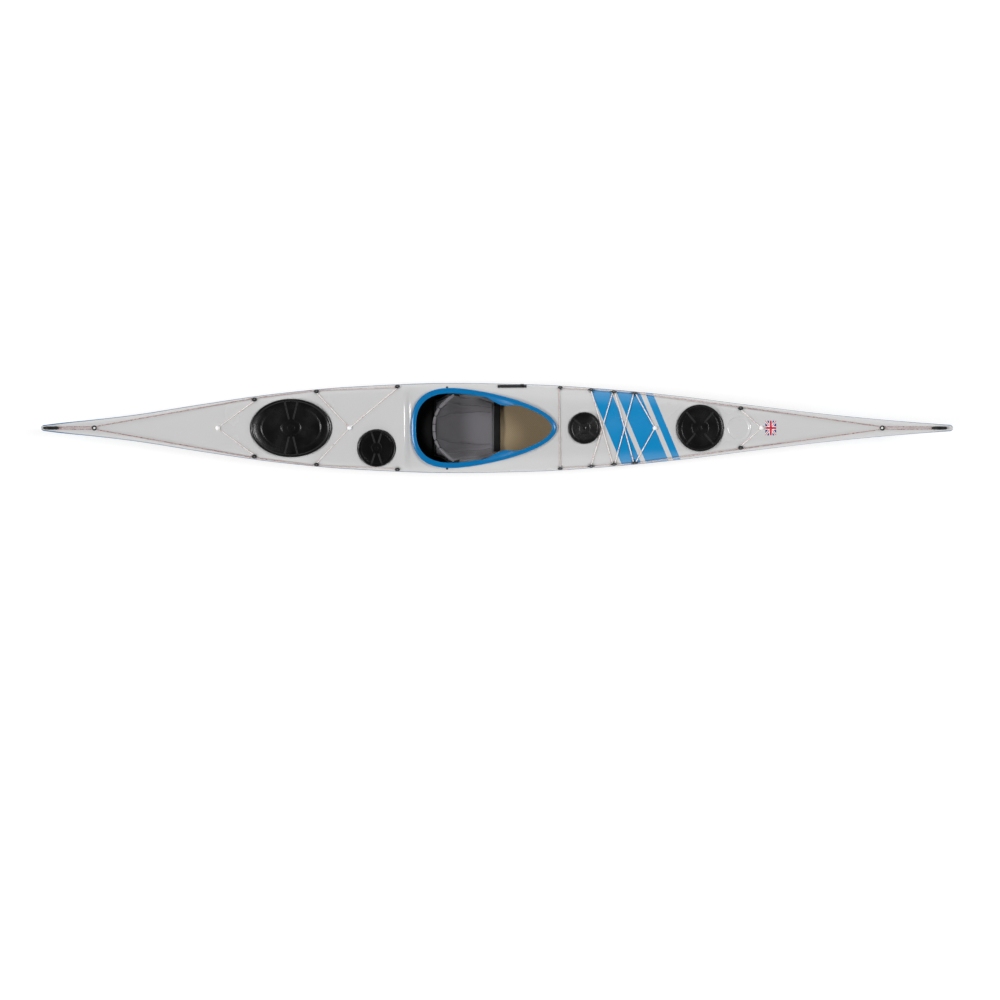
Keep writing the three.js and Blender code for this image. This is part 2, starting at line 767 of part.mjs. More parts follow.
addPiece("skeg_box", skegBox(), "blackPlastic");
addPiece("skeg_blade", skegBlade(), "blackPlastic");
addPiece("skeg_pin", skegPinRod(skegPinRadius, skegBoxWidth), "stainlessSteel");

// Skeg slider on the port side of the deck: a slotted track and its knob
const slider = {
  x: 90.5, y: 248, length: 174, width: 24, height: 8, slotWidth: 6, slotMargin: 14, slotDepth: 5,
};
const knob = { length: 22, width: 16, height: 7, stemWidth: 5, stemLength: 12, travel: 120 };

function sliderFrame() {
  return deckFrame(slider.x, slider.y);
}

function sliderTrack() {
  const { length, width, height, slotWidth, slotMargin, slotDepth } = slider;
  const slot = box(length - 2 * slotMargin, slotWidth, 2 * slotDepth, 0, 0, height);
  return seatedOnDeck(cut(box(length, width, 2 * height), slot), sliderFrame());
}

function sliderKnob() {
  const grip = box(knob.length, knob.width, knob.height, 0, 0, slider.height + fit + knob.height / 2);
  const stemFoot = slider.height - slider.slotDepth + 2 * fit;
  const stem = box(knob.stemLength, knob.stemWidth, knob.height, 0, 0, stemFoot + knob.height / 2);
  return joined(grip, stem).translate(knob.travel / 2, 0, 0).applyMatrix4(sliderFrame());
}

addPiece("skeg_slider_track", sliderTrack(), "blackPlastic");
addPiece("skeg_slider_knob", sliderKnob(), "blackPlastic");

// The skeg cable runs inside the boat, from under the slider to the front of the skeg box
const cableRadius = 3;
const cableSteps = 18;
const cableRoute = [
  [140, 238, 200], [0, 245, 186], [-260, 250, 172], [-560, 240, 168], [-915, 220, 166], [-1233, 188, 163],
  [-1500, 140, 163], [-1680, 55, 150], [-1750, 8, 134], [-1785, 0, 130], [skegBoxForeX + 2 * fit, 0, 130],
];

function cableGeometry(radius) {
  const places = cableRoute.map((place) => new THREE.Vector3(...place));
  const curve = new THREE.CatmullRomCurve3(places, false, "centripetal");
  return cordGeometry(curve.getPoints(cableSteps), radius, roundSides);
}

addPiece("skeg_cable", cableGeometry(cableRadius), "blackPlastic");

// Hull and deck shells with their openings
function shellOf(blank, hollow, tools) {
  const solid = solidOf(blank).subtract(solidOf(hollow));
  return geometryOf(tools.reduce((whole, tool) => whole.subtract(solidOf(tool)), solid));
}

function deckShell() {
  const allHatches = Object.values(hatches);
  const shaped = (blank, inset) => {
    const flats = allHatches.map((hatch) => hatchFlat(hatch, inset));
    const recesses = allHatches.map((hatch) => hatchRecess(hatch, inset));
    return cut(joined(blank, ...flats), ...recesses, compassDish(inset));
  };
  const hollow = hollowBlank(deckSide, wall, -wall);
  const tools = [...allHatches.map(hatchHole), cockpitHole(), ...Object.values(sides).map(boltHole)];
  return shellOf(shaped(deckBlank, 0), shaped(hollow, wall), tools);
}

const hullHollow = hollowBlank(hullSide, wall, wall);
addPiece("hull_shell", shellOf(hullBlank, hullHollow, [skegBoxBlank(fit)]), "hullLaminate");
addPiece("deck_shell", deckShell(), "deckGelcoat");

// Bulkheads close off the bow, day and stern compartments
const bulkheadThickness = 6;
const bulkheadShares = { front: 0.185, rear: -0.1026, day: -0.1677 };

for (const [name, share] of Object.entries(bulkheadShares)) {
  const blank = box(bulkheadThickness, boatBeam, boatBeam, share * hullLength, 0, boatBeam / 2);
  const bulkhead = cut(trimmed(blank, room), cableGeometry(cableRadius + fit));
  addPiece(`${name}_bulkhead`, bulkhead, "bareLaminate");
}

// Flat polygon pushed outwards by one distance on every side
function pushedOut(points, distance) {
  return points.map((point, i) => {
    const before = points.at(i - 1);
    const after = points[(i + 1) % points.length];
    const first = point.clone().sub(before).normalize();
    const second = after.clone().sub(point).normalize();
    const bisector = new THREE.Vector2(first.y + second.y, -first.x - second.x).normalize();
    const reach = distance / bisector.dot(new THREE.Vector2(first.y, -first.x));
    return point.clone().addScaledVector(bisector, reach);
  });
}

// The tape over the seam runs all the way round the boat
function seamBand() {
  const rows = [1, 0, -1].map((row) => {
    const places = shellStations.map((x) => {
      const side = row < 0 ? hullSide(x, 0, sectionSteps) : deckSide(x, 0, sectionSteps);
      const [y, z] = side[Math.abs(row)];
      return { x, y, z: z + fit * (row + 1) / 2 };
    });
    return [...places.map((place) => ({ ...place, y: -place.y })), ...places.toReversed()];
  });
  const flats = rows.map((places) => places.map(({ x, y }) => new THREE.Vector2(x, y)));
  const skins = [fit, fit + bandThickness].map((distance) => (
    flats.map((points) => pushedOut(points, distance))
  ));
  return loft(rows[0].map((_, i) => {
    const inner = skins[0].map((points, row) => new THREE.Vector3(points[i].x, points[i].y, rows[row][i].z));
    const outer = skins[1].map((points, row) => new THREE.Vector3(points[i].x, points[i].y, rows[row][i].z));
    return [...inner, ...outer.reverse()];
  }), true);
}

addPiece("seam_band", seamBand(), "blueGelcoat");

// Protective strips along the stem and the stern edge
const stripThickness = 1.5;
const stripGap = 0.5;
const stripPoints = 3;
const stripShares = { bow: [0.35, 0.492], stern: [-0.492, -0.385] };

function keelStrip([from, to]) {
  const stations = shellStations.filter((x) => x > from * hullLength && x < to * hullLength);
  return loft(stations.map((x) => {
    const side = hullSide(x, 0, sectionSteps).slice(-stripPoints);
    const edge = mirrored(side).reverse().map(([y, z]) => new THREE.Vector2(y, z));
    const around = [edge[0], ...edge, edge.at(-1)];
    const skin = (distance) => edge.map((point, i) => {
      const along = around[i + 2].clone().sub(around[i]).normalize();
      return new THREE.Vector3(x, point.x + along.y * distance, point.y - along.x * distance);
    });
    return [...skin(stripGap), ...skin(stripGap + stripThickness).reverse()];
  }));
}

for (const [name, ends] of Object.entries(stripShares)) {
  addPiece(`${name}_keel_strip`, keelStrip(ends), "blueGelcoat");
}

// Seat: a moulded bucket whose sides rise to the cockpit rim and carry the seat
const seatRearX = -377;
const seatFrontX = -18;
const seatFloor = 24;
const seatHalfWidth = 215.6;
const seatFullHeight = 250;
const seatWall = 5;
const seatCurvePower = 5;
const seatSteps = 9;
const seatCrowding = 1.7;
const seatTopClearance = 2.5;
const hangerShares = [0.248, 0.393];
// Stations along the seat, as shares of its length from the rear, and the height of its sides there,
// as a share of the full height; zero stands for the rim above
const seatStationShares = [
  [0, 0.368], [0.036, 0.404], [0.103, 0.472], [0.2145, 0.784], [hangerShares[0], 0], [hangerShares[1], 0],
  [0.437, 0.784], [0.72, 0.68], [0.883, 0.472], [0.972, 0.362], [1, 0.336],
];

function alongSeat(share) {
  return seatRearX + (seatFrontX - seatRearX) * share;
}

const hangerTop = rimLine(alongSeat(hangerShares[0])) - rimThickness - seatTopClearance;

// A point on the bucket's section, counted from the middle to the top, and moved in by an offset
function seatPoint([, heightShare], step, offset) {
  const top = heightShare ? heightShare * seatFullHeight : hangerTop;
  const height = seatFullHeight - seatFloor;
  const topShare = Math.pow((top - seatFloor) / height, 1 / seatCurvePower);
  const whole = Math.floor(step);
  const [near, far] = [whole, whole + 1].map((place) => {
    const outShare = topShare * (1 - Math.pow(Math.max(0, 1 - place / seatSteps), seatCrowding));
    const slope = seatCurvePower * height / seatHalfWidth * Math.pow(outShare, seatCurvePower - 1);
    const tilt = Math.hypot(1, slope);
    const rise = height * Math.pow(outShare, seatCurvePower);
    return [seatHalfWidth * outShare - offset * slope / tilt, seatFloor + rise + offset / tilt];
  });
  return near.map((value, i) => value + (far[i] - value) * (step - whole));
}

function seatRow(station, steps, offsetAt) {
  const side = steps.map((step) => seatPoint(station, step, offsetAt(step)));
  return ringAt(alongSeat(station[0]), mirrored(side));
}

function countDown(from, step) {
  return Array.from({ length: Math.round(from / step) + 1 }, (_, i) => from - i * step);
}

function seatPan() {
  const steps = countDown(seatSteps, 1);
  return loft(seatStationShares.map((station) => [
    ...seatRow(station, steps, () => 0), ...seatRow(station, steps, () => seatWall).reverse(),
  ]));
}

addPiece("seat_pan", seatPan(), "blackPlastic");

// Seat pad: crowned over the middle, thin at its edges, with stitched channels along the boat
const padThickness = 20;
const padEdge = 5;
const padGap = 0.5;
const padSteps = 7;
const padEndPower = 0.35;
const padSidePower = 6;
const channelDepth = 5;
const channelWidthSteps = 0.45;
const channelSteps = { rear: 2, fore: 3.5, side: 5 };

function padLoft(alongShare, step) {
  const endShare = Math.pow(Math.sin(Math.PI * alongShare), padEndPower);
  const sideShare = Math.sqrt(1 - Math.pow(step / padSteps, padSidePower));
  const inner = channelSteps.rear + (channelSteps.fore - channelSteps.rear) * alongShare;
  const dipShare = [inner, channelSteps.side].reduce(
    (sum, place) => sum + Math.exp(-Math.pow((step - place) / channelWidthSteps, 2)), 0,
  );
  const crown = (padThickness - padEdge) * endShare * sideShare;
  return padEdge + crown - channelDepth * Math.min(1, dipShare) * endShare;
}

function seatPad() {
  const stations = seatStationShares.slice(1, -1);
  const [rear, fore] = [stations[0][0], stations.at(-1)[0]];
  const bottom = seatWall + padGap;
  return loft(stations.map((station) => {
    const alongShare = (station[0] - rear) / (fore - rear);
    const top = seatRow(station, countDown(padSteps, 0.5), (step) => bottom + padLoft(alongShare, step));
    return [...top, ...seatRow(station, countDown(padSteps, 1), () => bottom).reverse()];
  }));
}

addPiece("seat_pad", seatPad(), "greyFabric");

// A padded strap across the front edge of the seat
const strapLength = 38;
const strapThickness = 14;
const strapSteps = 6;
const strapRounding = 4;

function frontStrap() {
  const front = seatStationShares.at(-1);
  const near = seatFrontX + fit;
  const corners = [
    [0, strapRounding], [strapRounding, 0], [strapLength - strapRounding, 0], [strapLength, strapRounding],
    [strapLength, strapThickness - strapRounding], [strapLength - strapRounding, strapThickness],
    [strapRounding, strapThickness], [0, strapThickness - strapRounding],
  ];
  const rows = corners.map(([along, up]) => {
    const side = countDown(strapSteps, 1).map((step) => seatPoint(front, step, up));
    return ringAt(near + along, mirrored(side));
  });
  return loft(rows[0].map((_, i) => rows.map((row) => row[i])));
}

addPiece("seat_front_strap", frontStrap(), "blackWebbing");

// Back band: a padded crescent behind the paddler, hung on the seat's raised sides
const backBand = {
  backX: -377, pivotX: -262, halfWidth: 201.7, bottom: 118, top: 246, thickness: 20, rounding: 5,
};
const backBandTaperShare = 0.55;
const backBandTaperPower = 3;
// Places along one half: the way to the pivot, the width, and the lower and upper edges
const backBandShares = [
  [0, 0, 0, 1], [0.061, 0.307, 0, 1], [0.278, 0.584, 0.047, 0.992], [0.626, 0.792, 0.25, 0.977],
  [0.878, 0.916, 0.695, 0.953], [0.991, 0.97, 0.719, 0.9375], [1, 1, 0.727, 0.93],
];
const backBandSteps = 9;

function backBandGeometry() {
  const { backX, pivotX, halfWidth, bottom, top, thickness, rounding } = backBand;
  const places = backBandShares.map(
    ([along, out]) => new THREE.Vector3(backX + (pivotX - backX) * along, halfWidth * out, 0),
  );
  const curve = new THREE.CatmullRomCurve3(places, false, "centripetal");
  const [lowCurve, highCurve] = [2, 3].map((column) => smoothCurve(backBandShares.map(
    (place, i) => [i / (backBandShares.length - 1), bottom + (top - bottom) * place[column]],
  )));
  const half = Array.from({ length: backBandSteps + 1 }, (_, i) => {
    const share = i / backBandSteps;
    const place = curve.getPoint(share);
    const along = i === 0 ? new THREE.Vector3(0, 1, 0) : curve.getTangent(share);
    const deep = thickness * (1 - backBandTaperShare * Math.pow(share, backBandTaperPower)) / 2;
    const [low, high] = [lowCurve(share), highCurve(share)];
    const flat = deep - rounding / 2;
    const section = [
      [-deep, low + rounding], [-flat, low], [flat, low], [deep, low + rounding],
      [deep, high - rounding], [flat, high], [-flat, high], [-deep, high - rounding],
    ];
    return section.map(([out, z]) => new THREE.Vector3(place.x + along.y * out, place.y - along.x * out, z));
  });
  const flip = new THREE.Vector3(1, -1, 1);
  const other = half.slice(1).reverse().map(
    (section) => section.map((point) => point.clone().multiply(flip)),
  );
  return loft([...other, ...half]);
}

addPiece("back_band", backBandGeometry(), "greyFabric");

// Footrests: a rail bolted along each side of the hull and a pedal that slides on it
const rail = {
  x: 730, z: 125, length: 380, width: 14, height: 24, slotHeight: 8, slotDepth: 9, turn: 5.1, standOff: 9,
};
const railBolt = { radius: 6, length: 34, spacing: 150 };
const pedal = {
  width: 70, height: 118, thickness: 10, lean: 14, baseLength: 60, baseDepth: 12, baseHeight: 22, drop: 30,
};

function hullReach(x, z, inset) {
  const side = hullSide(x, inset, sectionSteps);
  const i = side.findIndex((point) => point[1] <= z);
  const t = (side[i - 1][1] - z) / (side[i - 1][1] - side[i][1]);
  return side[i - 1][0] * (1 - t) + side[i][0] * t;
}

function railFrame(side) {
  const turn = new THREE.Matrix4().makeRotationZ(-side * THREE.MathUtils.degToRad(rail.turn));
  return turn.setPosition(rail.x, side * (hullReach(rail.x, rail.z, wall) - rail.standOff), rail.z);
}

function footrestRail(side) {
  const { length, width, height, slotHeight, slotDepth } = rail;
  const bar = box(length, width, height, 0, -side * width / 2);
  const slot = box(length + overrun, 2 * slotDepth, slotHeight, 0, -side * width);
  const studs = [-1, 1].map((end) => (
    rod(railBolt.radius, railBolt.length, roundSides).rotateX(Math.PI / 2)
      .translate(end * railBolt.spacing, side * (railBolt.length / 2 - fit), 0)
  ));
  return trimmed(joined(cut(bar, slot), ...studs).applyMatrix4(railFrame(side)), room);
}

function footrestPedal(side) {
  const { width, height, thickness, lean, baseLength, baseDepth, baseHeight, drop } = pedal;
  const face = -side * (rail.width + fit);
  const base = box(baseLength, baseDepth, baseHeight, 0, face - side * baseDepth / 2);
  const tongueDepth = rail.slotDepth - 2 * fit;
  const tongueWidth = tongueDepth + baseDepth / 2;
  const tongueMiddle = face + side * (tongueDepth - baseDepth / 2) / 2;
  const tongue = box(baseLength, tongueWidth, rail.slotHeight - 2 * fit, 0, tongueMiddle);
  const outline = new THREE.Shape();
  outline.moveTo(0, -drop);
  outline.lineTo(-width * 0.6, -drop);
  outline.quadraticCurveTo(-width, -drop, -width, -drop + width * 0.4);
  outline.lineTo(-width, height - drop - width * 0.4);
  outline.quadraticCurveTo(-width, height - drop, -width * 0.6, height - drop);
  outline.lineTo(0, height - drop - width * 0.2);
  outline.closePath();
  const plate = new THREE.ExtrudeGeometry(outline, {
    depth: thickness, bevelEnabled: false, curveSegments: 3,
  });
  plate.rotateX(Math.PI / 2).rotateZ(Math.PI / 2);
  if (side < 0) plate.scale(1, -1, 1);
  const pad = facingOut(mergedIndex(plate)).rotateY(THREE.MathUtils.degToRad(lean));
  return joined(base, tongue, pad.translate(0, face - side * baseDepth / 2, 0)).applyMatrix4(railFrame(side));
}

for (const [name, side] of Object.entries(sides)) {
  addPiece(`${name}_footrest_rail`, footrestRail(side), "aluminium");
  addPiece(`${name}_footrest_pedal`, footrestPedal(side), "blackPlastic");
}

// Deck fittings: a post and a round cap, with the cords held under the cap
const fitting = {
  postRadius: 4, capRadius: 15.5, capClearance: 7.2, capEdge: 2, capHeight: 4.3, capFlatRadius: 9,
};
const cordRadius = 2.6;
const cordLift = 3.5;
const wrapGap = 0.9;
const wrapRadius = fitting.postRadius + wrapGap + cordRadius;
const outerCordReach = wrapRadius + 2 * cordRadius + fit;
// Places of the fittings: share of the hull length from the middle and share of the half beam there
const fittingShares = {
  aft_outer: [-0.2662, 0.883], aft_middle: [-0.198, 0.93], aft_inner: [-0.1093, 0.935],
  fore_first: [0.0693, 0.937], fore_second: [0.1034, 0.929], fore_third: [0.1281, 0.921],
  fore_fourth: [0.151, 0.931], fore_fifth: [0.2675, 0.79],
};
const centreFittingShares = { stern: [-0.442, 0], bow: [0.423, 0] };

function deckPlace([alongShare, outShare], side = 1) {
  const x = alongShare * hullLength;
  return { x, y: side * outShare * halfBeam(x) };
}

function deckFitting({ x, y }) {
  const { postRadius, capRadius, capClearance, capEdge, capHeight, capFlatRadius } = fitting;
  return seatedOnDeck(turned([
    [0, -postRadius], [postRadius, -postRadius], [postRadius, capClearance], [capRadius, capClearance],
    [capRadius, capClearance + capEdge], [capFlatRadius, capClearance + capHeight],
    [0, capClearance + capHeight],
  ], roundSides), deckFrame(x, y));
}

for (const [name, shares] of Object.entries(fittingShares)) {
  for (const [sideName, side] of Object.entries(sides)) {
    addPiece(`${sideName}_${name}_fitting`, deckFitting(deckPlace(shares, side)), "blackPlastic");
  }
}
for (const [name, shares] of Object.entries(centreFittingShares)) {
  addPiece(`${name}_centre_fitting`, deckFitting(deckPlace(shares)), "blackPlastic");
}

// Cords lie on the deck between their fittings
const bead = { radius: 13, height: 20, hole: 6 };
const cordEndReach = fitting.postRadius + cordRadius;
const hopHeight = 2 * (cordRadius + wrapGap);

function byPost(place, forward, outboard, lift = cordLift) {
  const side = Math.sign(place.y) || 1;
  return new THREE.Vector3(forward, side * outboard, lift).applyMatrix4(deckFrame(place.x, place.y));
}

function roundPost(place, fromAngle, toAngle, steps, reach = wrapRadius) {
  return Array.from({ length: steps + 1 }, (_, i) => {
    const angle = THREE.MathUtils.degToRad(fromAngle + (toAngle - fromAngle) * i / steps);
    return byPost(place, reach * Math.cos(angle), reach * Math.sin(angle));
  });
}

// A leg is straight but for where it would come too close to the deck; there it bends over it
const legSamples = 40;
const legLift = 1.5;
const acrossLift = 3.5;
const legRiseLength = 60;
const legGap = 0.5;

function legPlaces(from, to, lift) {
  const over = (place, up) => deckHeight(place.x, place.y) + up / deckNormal(place.x, place.y).z;
  const samples = Array.from({ length: legSamples + 1 }, (_, i) => {
    const place = from.clone().lerp(to, i / legSamples);
    const fromEnds = Math.min(place.distanceTo(from), place.distanceTo(to));
    const rise = lift * Math.min(1, fromEnds / legRiseLength);
    if (i > 0 && i < legSamples) place.z = over(place, cordLift + rise);
    return place;
  });
  const isClear = (i, j) => samples.slice(i + 1, j).every((place, k) => {
    const z = samples[i].z + (samples[j].z - samples[i].z) * (k + 1) / (j - i);
    return z > over(place, cordRadius + legGap);
  });
  const places = [];
  let i = 0;
  while (i < legSamples) {
    let j = legSamples;
    while (j > i + 1 && !isClear(i, j)) j--;
    if (j < legSamples) places.push(samples[j]);
    i = j;
  }
  return places;
}

// Joins groups of points with legs; a leg that hops passes over another cord half way
function laidOver(groups, lift = legLift, hops = []) {
  const points = [...groups[0]];
  groups.slice(1).forEach((group, g) => {
    const [from, to] = [points.at(-1), group[0]];
    if (hops.includes(g)) {
      const top = from.clone().lerp(to, 0.5);
      top.z = deckHeight(top.x, top.y) + cordLift + lift + hopHeight;
      points.push(...legPlaces(from, top, lift), top, ...legPlaces(top, to, lift));
    } else {
      points.push(...legPlaces(from, to, lift));
    }
    points.push(...group);
  });
  return points;
}

function flipped(points) {
  return points.toReversed().map(({ x, y, z }) => new THREE.Vector3(x, -y, z));
}

function cord(points) {
  return cordGeometry(points, cordRadius, roundSides);
}

// Carry toggles: a crescent on a short stem at each end of the boat
const toggle = { length: 94, width: 20, rise: 13, tip: 4, bottom: 11, height: 28, stemRadius: 3 };
const toggleShares = { stern: [-0.4895, 0], bow: [0.486, 0] };

function toggleGeometry(shares) {
  const { length, width, rise, tip, bottom, height, stemRadius } = toggle;
  const place = deckPlace(shares);
  const outline = new THREE.Shape();
  outline.moveTo(-length / 2, rise);
  outline.lineTo(-length / 2 + tip, rise - tip / 2);
  outline.quadraticCurveTo(0, bottom + tip, length / 2 - tip, rise - tip / 2);
  outline.lineTo(length / 2, rise);
  outline.quadraticCurveTo(length / 3, bottom + height, 0, bottom + height);
  outline.quadraticCurveTo(-length / 3, bottom + height, -length / 2, rise);
  const handle = new THREE.ExtrudeGeometry(outline, { depth: width, bevelEnabled: false, curveSegments: 5 });
  handle.rotateX(Math.PI / 2).translate(0, width / 2, 0);
  const stemLength = bottom + height / 2 + stemRadius;
  const stem = rod(stemRadius, stemLength, roundSides).translate(0, 0, stemLength / 2 - stemRadius);
  return seatedOnDeck(joined(facingOut(mergedIndex(handle)), stem), deckFrame(place.x, place.y));
}

for (const [name, shares] of Object.entries(toggleShares)) {
  addPiece(`${name}_toggle`, toggleGeometry(shares), "blackRubber");
}

// Perimeter lines: one along the aft deck and one along the foredeck, each round its toggle
const turnReach = toggle.stemRadius + fit + cordRadius;

function deckline() {
  const places = (name) => deckPlace(fittingShares[name]);
  const aftHalf = laidOver([
    [byPost(places("aft_inner"), -cordEndReach, 0)],
    [byPost(places("aft_middle"), 0, outerCordReach)], [byPost(places("aft_outer"), 0, outerCordReach)],
    [byPost(deckPlace(centreFittingShares.stern), 0, wrapRadius)],
    roundPost(deckPlace(toggleShares.stern), 90, 180, 3, turnReach),
  ]);
  const foreFirst = deckPlace(fittingShares.fore_first);
  const foreHalf = laidOver([
    roundPost(foreFirst, 180, 90, 3),
    ...["fore_second", "fore_third", "fore_fourth", "fore_fifth"].map(
      (name) => [byPost(places(name), 0, outerCordReach)],
    ),
    [byPost(deckPlace(centreFittingShares.bow), 0, wrapRadius)],
    roundPost(deckPlace(toggleShares.bow), 90, 0, 3, turnReach),
  ]);
  const crossStart = byPost(deckPlace(fittingShares.fore_first, -1), 0, -cordEndReach);
  const starboardHalf = flipped(foreHalf).slice(1, -3);
  const lastEnd = byPost(deckPlace(fittingShares.fore_first, -1), cordEndReach, cordRadius);
  return {
    aft: [...aftHalf, ...flipped(aftHalf).slice(1)],
    fore: laidOver([[crossStart], [...foreHalf, ...starboardHalf], [lastEnd]], acrossLift),
  };
}

const decklines = deckline();
addPiece("aft_deckline", cord(decklines.aft), "fleckedCord");
addPiece("fore_deckline", cord(decklines.fore), "fleckedCord");

// Shock cords across the deck, held on the middle line by round beads
const beadShares = { aft: -0.3069, rear: -0.162, fore: 0.1732, bow: 0.2902 };

function beadGeometry(share) {
  const { radius, height } = bead;
  return seatedOnDeck(turned([
    [0, -radius / 3], [radius * 0.8, -radius / 3], [radius, height * 0.3], [radius * 0.9, height * 0.65],
    [radius * 0.5, height * 0.93], [0, height],
  ], roundSides), deckFrame(share * hullLength, 0));
}

function beadPoint(share) {
  return [byPost(deckPlace([share, 0]), 0, 0, bead.hole)];
}

function cordEnd(name, side) {
  return [byPost(deckPlace(fittingShares[name], side), 0, -cordEndReach)];
}

function wrapped(name, side, forwards) {
  const turn = roundPost(deckPlace(fittingShares[name], side), 205, -25, 5);
  return forwards ? turn : turn.toReversed();
}

function crossCord(name, beadShare) {
  return cord(laidOver([cordEnd(name, 1), beadPoint(beadShare), cordEnd(name, -1)], acrossLift));
}

const aftBungee = joined(crossCord("aft_outer", beadShares.aft), beadGeometry(beadShares.aft));
addPiece("aft_bungee", aftBungee, "fleckedCord");
addPiece("rear_bungee", joined(
  crossCord("aft_middle", beadShares.rear), beadGeometry(beadShares.rear),
  cord(laidOver([beadPoint(beadShares.rear), cordEnd("aft_inner", 1)], acrossLift)),
), "fleckedCord");
const bowBungee = joined(crossCord("fore_fifth", beadShares.bow), beadGeometry(beadShares.bow));
addPiece("bow_bungee", bowBungee, "fleckedCord");
const zigzag = laidOver([
  cordEnd("fore_second", 1), wrapped("fore_third", -1, true), wrapped("fore_fourth", 1, true),
  beadPoint(beadShares.fore),
  wrapped("fore_fourth", -1, false), wrapped("fore_third", 1, false), cordEnd("fore_second", -1),
], acrossLift, [0, 1]);
addPiece("fore_bungee", joined(cord(zigzag), beadGeometry(beadShares.fore)), "fleckedCord");

export default kayak;
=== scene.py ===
from math import acos, asin, copysign, cos, exp, hypot, pi, radians, sin, sqrt, tan

import bmesh
import bpy
from mathutils import Euler, Matrix, Vector


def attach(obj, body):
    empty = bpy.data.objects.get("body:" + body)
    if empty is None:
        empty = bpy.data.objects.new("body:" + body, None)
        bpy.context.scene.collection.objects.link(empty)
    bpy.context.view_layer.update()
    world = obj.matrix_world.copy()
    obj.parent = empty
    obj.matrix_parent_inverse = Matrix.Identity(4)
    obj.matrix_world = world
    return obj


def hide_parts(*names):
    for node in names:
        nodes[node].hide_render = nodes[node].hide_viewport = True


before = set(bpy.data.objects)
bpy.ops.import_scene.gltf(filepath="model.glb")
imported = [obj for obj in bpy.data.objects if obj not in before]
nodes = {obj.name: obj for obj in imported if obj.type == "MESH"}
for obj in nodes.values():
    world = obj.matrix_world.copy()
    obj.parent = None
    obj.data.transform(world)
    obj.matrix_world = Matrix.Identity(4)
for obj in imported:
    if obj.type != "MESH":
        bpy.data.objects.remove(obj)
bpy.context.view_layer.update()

# Camera, floor and light
# The boat is seen square from above with its bow to the right, small in a pale studio frame.
# A pale room and two soft lamps light it.
view = {"width": 5.987, "centre": (0.018, -0.431), "height": 6.0}
camera_data = bpy.data.cameras.new("plan_camera")
camera_data.type, camera_data.ortho_scale = "ORTHO", view["width"]


def put(name, data):
    """An object in the scene"""
    obj = bpy.data.objects.new(name, data)
    bpy.context.scene.collection.objects.link(obj)
    return obj


camera = put("plan_camera", camera_data)
camera.location = (*view["centre"], view["height"])
bpy.context.scene.camera = camera
bpy.context.scene.view_settings.view_transform = "Standard"


def linear(code):
    """An sRGB colour written as a hex string, in linear light"""
    parts = [int(code[i:i + 2], 16) / 255 for i in (1, 3, 5)]
    return (*[p / 12.92 if p <= 0.04045 else ((p + 0.055) / 1.055) ** 2.4 for p in parts], 1.0)


def add(tree, kind, inputs=None, **settings):
    """Adds a node; an input is given a value, the socket that feeds it or the node that does"""
    node = tree.nodes.new("ShaderNode" + kind)
    for key, value in settings.items():
        setattr(node, key, value)
    for key, value in (inputs or {}).items():
        if isinstance(value, bpy.types.Node):
            value = value.outputs[0]
        if isinstance(value, bpy.types.NodeSocket):
            tree.links.new(value, node.inputs[key])
        else:
            node.inputs[key].default_value = value
    return node


def new_tree(owner):
    owner.use_nodes = True
    owner.node_tree.nodes.clear()
    return owner.node_tree


# The room has pale walls and a dark ceiling, so what faces up is lit from all round and still
# reflects little light.
ceiling = {"starts": 0.2, "full": 0.72, "strength": 0.05}
room = bpy.data.worlds.new("pale_room")
bpy.context.scene.world = room
tree = new_tree(room)
height = add(tree, "SeparateXYZ", {0: add(tree, "TexCoord").outputs["Generated"]}).outputs["Z"]
strength = add(tree, "MapRange", {
    "Value": height, "From Min": ceiling["starts"], "From Max": ceiling["full"],
    "To Min": 1.0, "To Max": ceiling["strength"],
}, interpolation_type="SMOOTHSTEP")
lit = add(tree, "Background", {"Color": linear("#FFFFFF"), "Strength": strength})
add(tree, "OutputWorld", {"Surface": lit})

floor_half, floor_level = 40.0, -0.002
floor_mesh = bpy.data.meshes.new("studio_floor")
floor_mesh.from_pydata([(x * floor_half, y * floor_half, floor_level)
                        for x, y in ((-1, -1), (1, -1), (1, 1), (-1, 1))], [], [(0, 1, 2, 3)])
floor_paint = bpy.data.materials.new("lit_white_floor")
tree = new_tree(floor_paint)
matt = add(tree, "BsdfDiffuse", {"Color": linear("#A6A6A6")})
white = add(tree, "Emission", {"Color": linear("#FFFFFF"), "Strength": 0.7})
add(tree, "OutputMaterial", {"Surface": add(tree, "AddShader", {0: matt, 1: white})})
floor_mesh.materials.append(floor_paint)
put("studio_floor", floor_mesh)

# Two soft lamps, one beyond each end of the boat, so that the shadows fall along it.
for name, way, energy in (("bow_lamp", (0.5, 0.1, 0.86), 1.4), ("stern_lamp", (-0.7, -0.06, 0.71), 1.6)):
    lamp = bpy.data.lights.new(name, "SUN")
    lamp.energy, lamp.angle = energy, radians(18)
    put(name, lamp).rotation_euler = Vector(way).to_track_quat("Z", "Y").to_euler()

# Hull moulding
# Vacuum-moulded laminate of woven dark fibre under a clear gloss coat, bare on the inside.
# It is bonded to the deck along the seam; a slot in its keel takes the skeg box. Sizes are in mm.
boat_length = 5460
boat_beam = 540
seam_height = 155
laminate = 3
fit = 0.3
band_height = 28
band_thickness = 2
hull_length = boat_length - 2 * (fit + band_thickness)
half_length = hull_length / 2
hull_half_beam = boat_beam / 2 - fit - band_thickness
stem_foot = (half_length - 457.7, 118, tan(radians(34.2)))
stern_foot = (247.7 - half_length, 23, tan(radians(37.8)))
foot_rounding = 11
keel_flat_width = 50
deadrise = 22
flare_share = 0.13
nose_length = 14
level_keel = (-0.275, 0.055)


